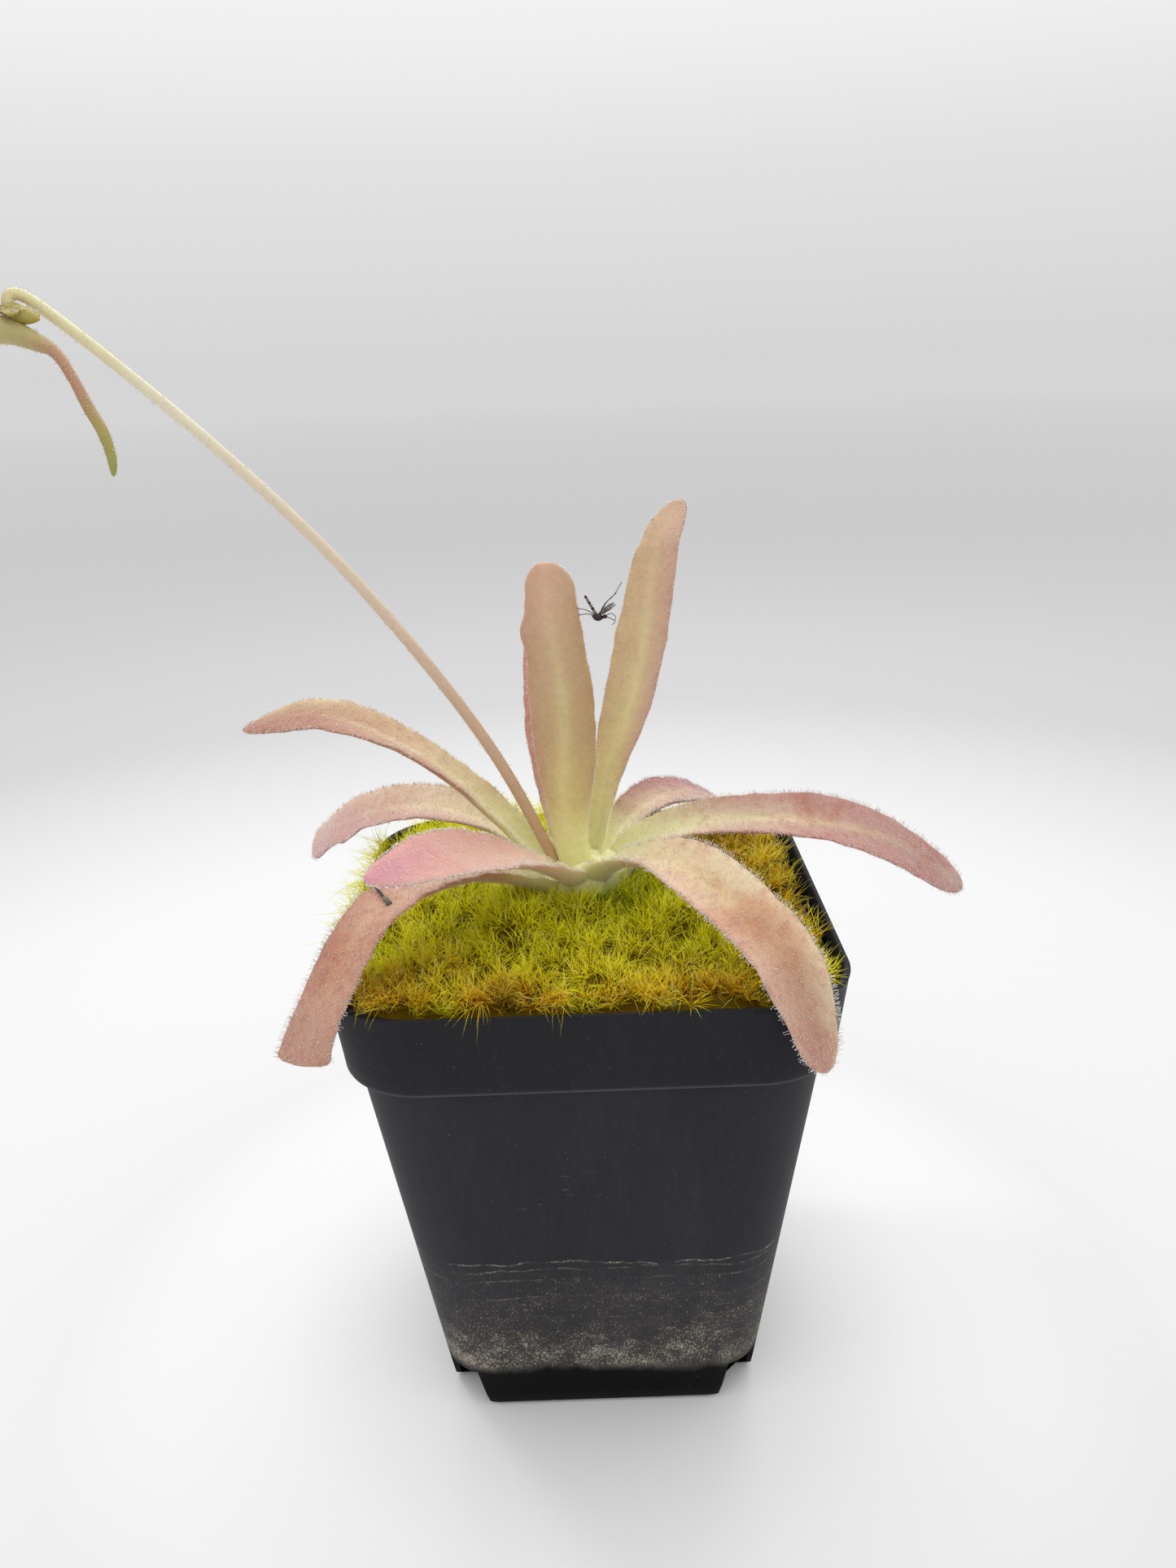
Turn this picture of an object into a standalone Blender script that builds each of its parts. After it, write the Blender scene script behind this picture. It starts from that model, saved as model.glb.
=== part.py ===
"""A butterwort in flower, in a square plastic nursery pot topped with moss.

Every length is in millimetres here and becomes metres in the meshes. The frame
has +Z up, +X to the right and -Y to the front, with its origin at the middle of
the pot's foot, on the surface that the pot stands on.
"""
import math
import random

import bmesh
import bpy
import numpy as np

MM = 0.001
GAP = 0.3                  # clearance between pieces that touch

# Pot: a 3 inch square nursery pot
POT_HEIGHT = 82.0
RIM_HALF = 38.1            # half the width over the rim band
BAND_LOW_HALF = 36.6       # the band narrows a little towards its lower edge
BAND_HEIGHT = 13.2
BAND_STEP = 1.5            # how far the wall sits inside the band
FOOT_HALF = 25.5
RIM_CORNER = 13.7          # corner radius at the rim
FOOT_CORNER = 7.8
WALL = 0.9
FLOOR = 1.3
NOTCH_HEIGHT = 8.0         # the foot's corners are cut away below this
NOTCH_PROFILE = [(NOTCH_HEIGHT, 20.8), (3.0, 19.8), (1.0, 19.2), (0.0, 18.3), (-1.0, 17.3)]
DRAIN_HALF = 2.2
DRAIN_AT = 22.6
CORNER_STEPS = 5

# Soil and moss
SOIL_TOP = 79.3
CRUMB_COUNT = 34
CRUMB_SIZE = (1.0, 1.9)
CRUMB_SEED = 11
CRUMBS_RIGHT = ((34.5, 35.4), (-22, 23))    # ranges of x and of y in the bare strip on the right
CRUMBS_BACK = ((8, 23), (34.3, 35.2))       # the same for the bare strip at the back
MOSS_EDGE = 83.2           # height of the moss where it meets the pot
MOSS_DOME = 2.8            # how much higher it is beside the crown
MOSS_SHOULDER = 0.5        # drop at a cushion's own edge
MOSS_SINK = 1.4            # how much lower the sparse moss on the right lies
MOSS_HALF = RIM_HALF - WALL - GAP - 0.4
MOSS_SPLIT_Y = -26.5       # green moss behind this line, rusty moss in front of it
MOSS_INSET_RIGHT = 3.8     # strips of bare soil along the right and back walls
MOSS_INSET_BACK = 4.2
MOSS_CLEARING = 7.4        # radius of the hole that the crown stands in
TUFT_HEIGHT = 2.0
TUFT_SPACING = 4.8
TUFT_RADIUS = 3.0
TUFT_BLADES = 3
TUFT_SEED = 5
BORDER_MARGIN = 1.8        # tufts and blade tips stay this far inside their own cushion
BLADE_LENGTH = (4.2, 6.4)
ROOT_DEPTH = 1.0
BLADE_BASE = 0.72          # radius of a blade's three-sided root
LEAF_CLEARANCE = 2.0       # a blade's tip stays this far from any leaf's middle surface
LEAF_SHADE = 3.0           # moss within this reach in plan stays below the leaf
FRINGE_FRONT = 13          # strands that hang over the rim
FRINGE_LEFT = 7
FRINGE_SPAN = 46           # length of rim that the strands spread over
FRINGE_REACH = (3.6, 5.2)

# Crown: the short stem that every leaf and the flower stalk grow from
CROWN = (-0.5, 0.0)
CROWN_HOLE = 5.3
CROWN_PROFILE = [(0.0, 88.4), (1.0, 88.2), (1.8, 87.5), (1.95, 86.4), (3.2, 86.0), (3.8, 85.2),
                 (4.6, 84.7), (4.9, 83.6), (4.7, 79.5), (3.8, 75.0), (2.4, 72.4), (0.0, 71.8)]
# Radius and height where the leaves start, from the oldest and lowest ring to the newest
LOW_RING = (6.0, 84.6)
MIDDLE_RING = (4.9, 86.1)
INNER_RING = (3.0, 86.9)

# Leaves
LEAF_STATIONS = 16
LEAF_CROWDING = 0.45      # from 0 to 1: how far stations draw together at both ends
LEAF_COLUMNS = 7
LEAF_THICK = 1.35          # at the midrib, by the base
LEAF_THIN = 0.7            # at the margins and the tip
LEAF_MIN_HALF = 0.5

# One row for each leaf. "base" is its compass angle on the crown and "facing" the
# angle that its blade is square to; "path" is its midrib from just outside the
# crown to the tip; "widths", "roll" and "cup" run from base to tip, evenly spaced.
# A positive cup lifts both margins, and roll turns the blade about its midrib.
LEAVES = {
    "leaf_upright_front": dict(
        ring=INNER_RING, base=260, facing=252, tip=4.0,
        path=[(-2.1, -3.6, 92), (-2.5, -4.2, 103), (-2.7, -5, 114), (-3.4, -5.5, 127), (-4, -6, 138)],
        widths=(4.4, 6.8, 10.2, 10.5, 8.7, 7.3), roll=(6, 10, -2), cup=(60, 35, 20, 15),
        waves=((0.80, -1, 1.0),)),
    "leaf_upright_right": dict(
        ring=INNER_RING, base=25, facing=60, tip=5.0,
        path=[(2.8, 2.8, 92), (4.6, 5.8, 101.5), (8.3, 9.6, 112.5), (11.4, 13, 125), (14.3, 16.4, 137),
              (18, 20, 143.2)],
        widths=(3.2, 4.8, 8.4, 9.2, 8.3, 5.1), roll=(4, 10, -6), cup=(60, 35, 20, 15), waves=()),
    "leaf_upright_back": dict(
        ring=INNER_RING, base=122, facing=110, tip=4.0,
        path=[(-4, 4.4, 93), (-5, 7, 104), (-5, 9.2, 116), (-4.5, 12, 131)],
        widths=(3.4, 6.1, 9.1, 8.9, 6.7), roll=(-3, -1, 3), cup=(60, 35, 20, 15), waves=()),
    "leaf_left_high": dict(
        ring=MIDDLE_RING, base=160, facing=165, tip=9.0,
        path=[(-9, 1.6, 90.2), (-14.2, 2.2, 95.8), (-20.5, 3.6, 101.7), (-32, 6, 109), (-43, 8.5, 112),
              (-56, 10.5, 109.4)],
        widths=(4.2, 7.2, 7.4, 8.9, 8.6, 5.0), roll=(-12, -2, -34), cup=(75, 45, 20, 0), waves=()),
    "leaf_left_low": dict(
        ring=LOW_RING, base=122, facing=150, tip=3.0,
        path=[(-8.6, 7.8, 87.4), (-15.5, 10.4, 91), (-25.5, 14.5, 93), (-34.5, 19, 91.5), (-42.5, 23, 88),
              (-51, 26.5, 81)],
        widths=(4.2, 6.4, 8.9, 9.5, 9.4, 7.0), roll=(0, -25, -45), cup=(75, 45, 20, 0),
        waves=((0.78, 1, 1.2),)),
    "leaf_front_left": dict(
        ring=MIDDLE_RING, base=251, facing=240, tip=4.0,
        path=[(-4.8, -9.6, 90.4), (-9.2, -14.4, 94.4), (-15, -23, 99.5), (-20, -34, 104), (-27, -44, 105.5)],
        widths=(4.2, 6.8, 9.0, 9.4, 7.9, 2.7), roll=(-6, -30, -33), cup=(75, 45, 20, -10), waves=()),
    "leaf_corner_left": dict(
        ring=LOW_RING, base=212, facing=224, tip=2.0,
        path=[(-10.6, -6.6, 88.0), (-19.5, -15.8, 92.8), (-29.5, -26.8, 92.6), (-35.6, -33, 84.4),
              (-40.6, -37, 74.5)],
        widths=(4.0, 6.4, 9.0, 9.6, 8.9, 8.2), roll=(-4, 2, -12), cup=(75, 45, 20, 0), waves=()),
    "leaf_corner_right": dict(
        ring=MIDDLE_RING, base=303, facing=307, tip=4.0,
        path=[(4.8, -8.6, 90.8), (12, -17, 95), (20, -27.5, 93.5), (27, -37, 88), (31.5, -43, 75)],
        widths=(4.2, 7.2, 10.5, 9.9, 9.9, 5.7), roll=(0, 24, 0), cup=(75, 45, 20, 0), waves=()),
    "leaf_right": dict(
        ring=LOW_RING, base=358, facing=5, tip=4.0,
        path=[(8.6, 0.7, 89.2), (15.6, 1.7, 92.6), (27, 2.6, 93.4), (41, 4, 91.7), (51.5, 5, 87.2),
              (64.5, 6.5, 78)],
        widths=(4.6, 8.0, 9.2, 10.4, 9.3, 6.4), roll=(20, 30, 38), cup=(75, 45, 20, 0), waves=()),
    "leaf_back_right": dict(
        ring=MIDDLE_RING, base=52, facing=50, tip=4.0,
        path=[(5.6, 7.4, 89.9), (10.5, 12, 93), (17.5, 18.5, 92.4), (24.5, 25.5, 88.2), (29, 30, 83.5)],
        widths=(4.2, 7.0, 9.2, 9.5, 9.0, 6.0), roll=(4, 15, 15), cup=(75, 45, 20, 0), waves=()),
}

# Flower stalk and flower
SCAPE_PATH = [(-3.8, -1.2, 86.6), (-5.8, -1.6, 91.3), (-12.6, -4.7, 107.5), (-21.6, -8.8, 123.8),
              (-33.8, -14.6, 142.3), (-46, -20.2, 157.3), (-57.5, -25.6, 169.7), (-61.6, -27.5, 173.7),
              (-63.0, -28.2, 174.9), (-64, -28.7, 175.2), (-64.4, -29, 174.6)]
SCAPE_RADIUS = (0.95, 0.68)
SCAPE_STEPS = 44
CALYX_CENTRE = (-63.9, -29.0, 173.0)
SEPAL_LENGTH = 3.4
SEPAL_WIDTH = 2.1
SEPAL_THICK = 0.65
SEPALS = ((-70, -0.7), (-12, -0.8), (88, 0.1), (125, 0.6), (190, 1.2))   # angle, and rise of the tip
CALYX_RADIUS = 1.4
SPUR_PATH = [(-52.8, -35.4, 154.4), (-52.9, -34.8, 156.2), (-53.8, -33.8, 159.2), (-55.4, -32.8, 162),
             (-57, -31.8, 165.2), (-59, -30.8, 168.2), (-61.4, -30.2, 169.5)]
SPUR_RADII = (0.35, 0.6, 0.75, 0.75, 0.65, 0.7, 1.3)
TUBE_PATH = [(-63.6, -30.1, 170.1), (-65.6, -30.3, 170.6), (-67.6, -30.6, 171.2)]
TUBE_RADII = (1.6, 1.8, 2.2)
TUBE_WALL = 0.65
THROAT_DEPTH = 3.2
LOBE_REACH = 10.5          # from the throat's axis to the tip of the longest lobe
LOBE_NOTCH = 3.6           # from the axis to the gap between two lobes
LOBE_THICK = 0.65
LOBE_FLARE = 22            # degrees that the lobes lean forward of square
LOBE_STATIONS = 3
LOBE_POINTS = 40


def clear_scene():
    for obj in list(bpy.data.objects):
        bpy.data.objects.remove(obj, do_unlink=True)


def new_collection(name):
    collection = bpy.data.collections.new(name)
    bpy.context.scene.collection.children.link(collection)
    return collection


def material(name, colour, roughness):
    mat = bpy.data.materials.new(name)
    mat.use_nodes = True
    shader = mat.node_tree.nodes["Principled BSDF"]
    shader.inputs["Base Color"].default_value = (*colour, 1.0)
    shader.inputs["Roughness"].default_value = roughness
    shader.inputs["Metallic"].default_value = 0.0
    return mat


def mesh_object(name, points, faces, collection, mat=None, smooth_angle=None):
    """Make a mesh object from points in millimetres."""
    mesh = bpy.data.meshes.new(name)
    mesh.from_pydata([tuple(float(c) * MM for c in p) for p in points], [], faces)
    mesh.validate()
    bm = bmesh.new()
    bm.from_mesh(mesh)
    bmesh.ops.recalc_face_normals(bm, faces=bm.faces)
    bm.to_mesh(mesh)
    bm.free()
    if mat:
        mesh.materials.append(mat)
    if smooth_angle:
        mesh.shade_smooth()
        mesh.set_sharp_from_angle(angle=math.radians(smooth_angle))
    obj = bpy.data.objects.new(name, mesh)
    collection.objects.link(obj)
    return obj


def make_cutter(obj):
    obj.hide_render = True
    obj.display_type = "WIRE"


def add_boolean(obj, operation, operand=None, collection=None, solver="EXACT"):
    modifier = obj.modifiers.new(operation.lower(), "BOOLEAN")
    modifier.operation = operation
    modifier.solver = solver
    if collection:
        modifier.operand_type = "COLLECTION"
        modifier.collection = collection
    else:
        modifier.object = operand
    return modifier


def bake_modifiers(obj):
    """Replace an object's mesh by what its modifiers make of it."""
    depsgraph = bpy.context.evaluated_depsgraph_get()
    baked = bpy.data.meshes.new_from_object(obj.evaluated_get(depsgraph))
    obj.modifiers.clear()
    obj.data = baked


def fuse(obj, repeats):
    """Join loose repeats to the body that they grow from, and remove them."""
    add_boolean(obj, "UNION", collection=repeats, solver="MANIFOLD")
    bake_modifiers(obj)
    for piece in list(repeats.objects):
        bpy.data.objects.remove(piece, do_unlink=True)
    bpy.data.collections.remove(repeats)


def loft(rings, closed=False):
    """Skin a list of rings that have equally many points, with end caps unless closed."""
    count = len(rings[0])
    points = [p for ring in rings for p in ring]
    spans = len(rings) if closed else len(rings) - 1
    faces = []
    for i in range(spans):
        a, b = i * count, ((i + 1) % len(rings)) * count
        for j in range(count):
            k = (j + 1) % count
            faces.append((a + j, a + k, b + k, b + j))
    if not closed:
        last = (len(rings) - 1) * count
        faces.append(tuple(range(count)))
        faces.append(tuple(range(last + count - 1, last - 1, -1)))
    return points, faces


def rounded_square(half, corner, z):
    """Points of a square with round corners, at height z."""
    ring = []
    inner = half - corner
    for quarter in range(4):
        start = math.radians(90 * quarter)
        cx = inner * (1 if quarter in (0, 3) else -1)
        cy = inner * (1 if quarter in (0, 1) else -1)
        for step in range(CORNER_STEPS + 1):
            angle = start + math.radians(90) * step / CORNER_STEPS
            ring.append((cx + corner * math.cos(angle), cy + corner * math.sin(angle), z))
    return ring


def wall_half(z):
    """Outer half width of the wall below the band."""
    band_low = POT_HEIGHT - BAND_HEIGHT
    return FOOT_HALF + (BAND_LOW_HALF - BAND_STEP - FOOT_HALF) * z / band_low


def corner_radius(z):
    return FOOT_CORNER + (RIM_CORNER - FOOT_CORNER) * z / POT_HEIGHT


def pot_rings(inset, bottom, top):
    """Rings of the pot's form, moved in by inset, from height bottom to height top."""
    band_low = POT_HEIGHT - BAND_HEIGHT
    step_z = band_low + inset
    edge = 0.7 if inset == 0 else 0.0
    profile = [(wall_half(bottom) - edge, bottom), (wall_half(bottom + edge), bottom + edge)] if edge else \
        [(wall_half(bottom), bottom)]
    profile += [(wall_half(NOTCH_HEIGHT), NOTCH_HEIGHT), (wall_half(step_z), step_z),
                (BAND_LOW_HALF - 0.3, step_z + 0.05), (BAND_LOW_HALF, step_z + 0.6)]
    if edge:
        profile += [(RIM_HALF, top - 0.4), (RIM_HALF - 0.25, top)]
    else:
        slope = (RIM_HALF - BAND_LOW_HALF) / BAND_HEIGHT
        profile += [(BAND_LOW_HALF + slope * (top - band_low), top)]
    return [rounded_square(half - inset, corner_radius(z) - inset, z) for half, z in profile]


def corner_blocks(name, grow, collection):
    """Four blocks that cut the foot's corners away, grown on every side."""
    blocks = []
    for index, (sx, sy) in enumerate(((1, 1), (-1, 1), (-1, -1), (1, -1))):
        rings = []
        for z, half in NOTCH_PROFILE:
            low = half - grow
            height = z + grow if z == NOTCH_HEIGHT else z
            rings.append([(sx * (low + x), sy * (low + y), height)
                          for x, y in ((30, 30), (30, 0), (1.5, 0), (0, 1.5), (0, 30))])
        blocks.append(mesh_object(f"{name}_{index}", *loft(rings), collection))
        make_cutter(blocks[-1])
    return blocks


def build_pot(parts, cutters):
    plastic = material("charcoal plastic", (0.028, 0.028, 0.031), 0.5)
    cavity = mesh_object("pot_cavity", *loft(pot_rings(WALL, FLOOR, POT_HEIGHT + 1.0)), cutters)
    make_cutter(cavity)
    for block in corner_blocks("cavity_corner", WALL, cutters):
        add_boolean(cavity, "DIFFERENCE", block)
    pot = mesh_object("pot", *loft(pot_rings(0, 0, POT_HEIGHT)), parts, plastic, 35)
    for block in corner_blocks("foot_corner", 0, cutters):
        add_boolean(pot, "DIFFERENCE", block)
    add_boolean(pot, "DIFFERENCE", cavity)
    for sx in (-1, 1):
        for sy in (-1, 1):
            drain = round_cutter("drain", DRAIN_HALF, NOTCH_HEIGHT - 1, NOTCH_HEIGHT + 2, cutters,
                                 (sx * DRAIN_AT, sy * DRAIN_AT))
            add_boolean(pot, "DIFFERENCE", drain)


def round_cutter(name, radius, low, high, collection, place=CROWN):
    """An upright cylinder that cuts a round hole."""
    bm = bmesh.new()
    bmesh.ops.create_cone(bm, cap_ends=True, segments=20, radius1=radius * MM, radius2=radius * MM,
                          depth=(high - low) * MM)
    mesh = bpy.data.meshes.new(name)
    bm.to_mesh(mesh)
    bm.free()
    cutter = bpy.data.objects.new(name, mesh)
    cutter.location = (place[0] * MM, place[1] * MM, (low + high) / 2 * MM)
    collection.objects.link(cutter)
    make_cutter(cutter)
    return cutter


def build_soil(parts, cutters):
    dark = material("peat and grit", (0.045, 0.028, 0.018), 0.95)
    rings = pot_rings(WALL + GAP, FLOOR + GAP, SOIL_TOP)
    soil = mesh_object("soil", *loft(rings), parts, dark)
    for block in corner_blocks("soil_corner", WALL + GAP, cutters):
        add_boolean(soil, "DIFFERENCE", block)
    bake_modifiers(soil)
    crumbs = new_collection("soil crumbs")
    rng = random.Random(CRUMB_SEED)
    for index in range(CRUMB_COUNT):
        size = rng.uniform(*CRUMB_SIZE)
        span_x, span_y = CRUMBS_BACK if index % 3 == 0 else CRUMBS_RIGHT
        x, y = rng.uniform(*span_x), rng.uniform(*span_y)
        bm = bmesh.new()
        bmesh.ops.create_cube(bm, size=size * MM)
        mesh = bpy.data.meshes.new("crumb")
        bm.to_mesh(mesh)
        bm.free()
        crumb = bpy.data.objects.new("crumb", mesh)
        crumb.location = (x * MM, y * MM, (SOIL_TOP + size * 0.1) * MM)
        crumb.rotation_euler = [rng.uniform(0.2, 1.3) for _ in range(3)]
        crumbs.objects.link(crumb)
    fuse(soil, crumbs)
    hole = round_cutter("root_hole", CROWN_HOLE, CROWN_PROFILE[-1][1] - GAP, POT_HEIGHT, cutters)
    add_boolean(soil, "DIFFERENCE", hole)


def build_crown(parts):
    pale = material("pale green stem", (0.62, 0.64, 0.30), 0.5)
    mesh = bpy.data.meshes.new("crown")
    profile = CROWN_PROFILE
    mesh.from_pydata([(r * MM, 0, z * MM) for r, z in profile],
                     [(i, i + 1) for i in range(len(profile) - 1)], [])
    mesh.materials.append(pale)
    crown = bpy.data.objects.new("crown", mesh)
    crown.location = (CROWN[0] * MM, CROWN[1] * MM, 0)
    parts.objects.link(crown)
    screw = crown.modifiers.new("turn", "SCREW")
    screw.steps = screw.render_steps = 16
    screw.use_merge_vertices = True
    screw.merge_threshold = 0.00001
    screw.use_smooth_shade = True


def spline(points, shares):
    """Stations at given shares of the length of a centripetal Catmull-Rom curve."""
    p = np.asarray(points, float)
    p = np.vstack([2 * p[0] - p[1], p, 2 * p[-1] - p[-2]])
    fine = []
    for i in range(1, len(p) - 2):
        knots = [0.0]
        for a, b in zip(p[i - 1:i + 2], p[i:i + 3]):
            knots.append(knots[-1] + math.sqrt(np.linalg.norm(b - a)))
        k0, k1, k2, k3 = knots
        for t in np.linspace(k1, k2, 16, endpoint=False):
            a1 = ((k1 - t) * p[i - 1] + (t - k0) * p[i]) / (k1 - k0)
            a2 = ((k2 - t) * p[i] + (t - k1) * p[i + 1]) / (k2 - k1)
            a3 = ((k3 - t) * p[i + 1] + (t - k2) * p[i + 2]) / (k3 - k2)
            b1 = ((k2 - t) * a1 + (t - k0) * a2) / (k2 - k0)
            b2 = ((k3 - t) * a2 + (t - k1) * a3) / (k3 - k1)
            fine.append(((k2 - t) * b1 + (t - k1) * b2) / (k2 - k1))
    fine = np.array(fine + [p[-2]])
    lengths = np.r_[0, np.cumsum(np.linalg.norm(np.diff(fine, axis=0), axis=1))]
    stations = np.asarray(shares) * lengths[-1]
    return np.stack([np.interp(stations, lengths, fine[:, k]) for k in range(3)], 1), lengths[-1]


def ease(values, t):
    """Read evenly spaced values at t with rounded corners between them."""
    grid = np.linspace(-0.1, 1.1, 241)
    knots = np.linspace(0, 1, len(values))
    line = np.interp(grid, knots, values)
    first, last = values[1] - values[0], values[-1] - values[-2]
    line = np.where(grid < 0, values[0] + first * (len(values) - 1) * grid, line)
    line = np.where(grid > 1, values[-1] + last * (len(values) - 1) * (grid - 1), line)
    window = np.hanning(31)
    smooth = np.convolve(line, window / window.sum(), "same")
    return np.interp(t, grid, smooth)


def leaf_frames(row):
    """Stations along a leaf: points, side and upper-face directions, half widths, cups."""
    radius, height = row["ring"]
    base = math.radians(row["base"])
    root = (CROWN[0] + radius * math.cos(base), CROWN[1] + radius * math.sin(base), height)
    even = np.linspace(0, 1, LEAF_STATIONS + 1)
    t = even * (1 - LEAF_CROWDING) + (1 - np.cos(math.pi * even)) / 2 * LEAF_CROWDING
    points, length = spline([root] + row["path"], t)
    along = np.gradient(points, t, axis=0)
    along /= np.linalg.norm(along, axis=1)[:, None]
    turn = np.radians(row["base"] + (row["facing"] - row["base"]) * np.clip(t * 4, 0, 1))
    side = np.stack([-np.sin(turn), np.cos(turn), np.zeros_like(turn)], 1)
    side -= along * (side * along).sum(1)[:, None]
    side /= np.linalg.norm(side, axis=1)[:, None]
    face = np.cross(along, side)
    roll = np.radians(ease(row["roll"], t))[:, None]
    side, face = side * np.cos(roll) + face * np.sin(roll), face * np.cos(roll) - side * np.sin(roll)
    to_tip = np.clip((1 - t) * length / row["tip"], 0, 1)
    half = ease(row["widths"], t) / 2 * np.sqrt(1 - (1 - to_tip) ** 2)
    cup = np.radians(ease(row["cup"], t))
    cup = np.where(abs(cup) < 0.01, 0.01, cup)
    return points, side, face, np.maximum(half, LEAF_MIN_HALF), cup, t


def leaf_grid(row):
    """The leaf's middle surface as a grid, with its normals."""
    points, side, face, half, cup, t = leaf_frames(row)
    across = np.linspace(-1, 1, LEAF_COLUMNS)
    angle = cup[:, None] * across[None]
    radius = (half / cup)[:, None]
    lateral, lift = radius * np.sin(angle), radius * (1 - np.cos(angle))
    for place, margin, depth in row["waves"]:
        bump = np.exp(-((t - place) / 0.05) ** 2)[:, None]
        lateral = lateral + margin * depth * bump * np.clip(across * margin, 0, 1)[None] ** 3
    grid = points[:, None] + side[:, None] * lateral[..., None] + face[:, None] * lift[..., None]
    normal = face[:, None] * np.cos(angle)[..., None] - side[:, None] * np.sin(angle)[..., None]
    return grid, normal, across, t


def build_leaf(name, row, parts, mat):
    grid, normal, across, t = leaf_grid(row)
    middle = LEAF_THIN + (LEAF_THICK - LEAF_THIN) * (1 - t) ** 0.7
    thick = LEAF_THIN + (middle[:, None] - LEAF_THIN) * (1 - across[None] ** 2)
    upper = grid + normal * thick[..., None] / 2
    lower = grid - normal * thick[..., None] / 2
    rings = [list(up) + list(low[::-1]) for up, low in zip(upper, lower)]
    points, faces = loft(rings)
    columns = LEAF_COLUMNS
    ring_size = 2 * columns
    split = []
    for face in faces:
        if len(face) != 4:
            continue
        a, b, c, d = face
        column = a % ring_size
        below = columns <= column < ring_size - 1
        split += [(a, b, d), (b, c, d)] if below else [(a, b, c), (a, c, d)]
    last = LEAF_STATIONS * ring_size
    for j in range(columns - 1):
        mirror = ring_size - 1 - j
        split.append((j, mirror, mirror - 1, j + 1))
        split.append((last + j, last + j + 1, last + mirror - 1, last + mirror))
    return mesh_object(name, points, split, parts, mat, 50)


def build_leaves(parts):
    blush = material("pink and green leaf", (0.60, 0.40, 0.31), 0.45)
    for name, row in LEAVES.items():
        build_leaf(name, row, parts, blush)


def wall_reach(y, half):
    """How far the pot's opening reaches in x at a given y."""
    corner = RIM_CORNER - WALL - GAP
    beyond = abs(y) - (half - corner)
    if beyond <= 0:
        return half
    return half - corner + math.sqrt(max(corner ** 2 - beyond ** 2, 0.0))


def moss_border(y):
    """The wavy line between the green moss and the rusty moss on its right."""
    return 16.5 - 0.36 * y + 1.3 * math.sin(y / 4.0)


def front_border(x):
    """The wavy line between the green moss and the rusty moss in front of it."""
    return MOSS_SPLIT_Y + 1.1 * math.sin(x / 4.5)


def moss_height(x, y, leaves, tufts=(), sink=0.0):
    """Top of the moss: higher towards the crown, raised to a point on each tuft, low under a leaf."""
    out = max(abs(x), abs(y)) / MOSS_HALF
    z = MOSS_EDGE - sink + MOSS_DOME * (1 - out ** 2)
    nearest = min((math.hypot(x - tx, y - ty) for tx, ty in tufts), default=TUFT_RADIUS)
    z += TUFT_HEIGHT * max(0.0, 1 - nearest / TUFT_RADIUS)
    over = leaves[np.hypot(leaves[:, 0] - x, leaves[:, 1] - y) < LEAF_SHADE]
    if len(over):
        z = min(z, over[:, 2].min() - LEAF_THICK)
    return z


def scatter(spacing, seed):
    """Jittered tuft centres over the pot's opening."""
    rng = random.Random(seed)
    spots = []
    steps = int(2 * MOSS_HALF / spacing) + 1
    for row in range(steps):
        for column in range(steps):
            x = -MOSS_HALF + (column + 0.5 * (row % 2)) * spacing + rng.uniform(-1, 1) * spacing * 0.3
            y = -MOSS_HALF + row * spacing + rng.uniform(-1, 1) * spacing * 0.3
            spots.append((x, y))
    return spots


def moss_mat(name, outline, columns, rows, height, parts, mat):
    """A cushion of moss over an area: outline(a, b) gives x and y for a and b from 0 to 1."""
    width = columns + 1
    top = []
    for j in range(rows + 1):
        for i in range(width):
            x, y = outline(i / columns, j / rows)
            edge = i in (0, columns) or j in (0, rows)
            top.append((x, y, height(x, y) - (MOSS_SHOULDER if edge else 0.0)))
    faces = []
    for j in range(rows):
        for i in range(columns):
            a = j * width + i
            faces.append((a, a + 1, a + width + 1, a + width))
    rim = list(range(width))
    rim += [j * width + columns for j in range(1, rows + 1)]
    rim += [rows * width + i for i in range(columns - 1, -1, -1)]
    rim += [j * width for j in range(rows - 1, 0, -1)]
    low = {v: len(top) + k for k, v in enumerate(rim)}
    points = top + [(top[v][0], top[v][1], SOIL_TOP + GAP) for v in rim]
    for a, b in zip(rim, rim[1:] + rim[:1]):
        faces.append((b, a, low[a], low[b]))
    faces.append(tuple(low[v] for v in rim))
    return mesh_object(name, points, faces, parts, mat)


def blade(collection, root, tip):
    """A three-sided needle whose root is sunk in the cushion."""
    turn = math.atan2(tip[1] - root[1], tip[0] - root[0])
    ring = []
    for k in range(3):
        angle = turn + math.radians(120 * k)
        ring.append((root[0] + BLADE_BASE * math.cos(angle), root[1] + BLADE_BASE * math.sin(angle), root[2]))
    mesh_object("blade", ring + [tuple(tip)], [(2, 1, 0), (0, 1, 3), (1, 2, 3), (2, 0, 3)], collection)


def leaf_cloud():
    """Points on every leaf's middle surface, for keeping the moss clear of them."""
    clouds = []
    for row in LEAVES.values():
        grid = leaf_grid(row)[0]
        between = (grid[1:] + grid[:-1]) / 2
        clouds += [grid.reshape(-1, 3), between.reshape(-1, 3)]
    return np.vstack(clouds)


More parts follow.
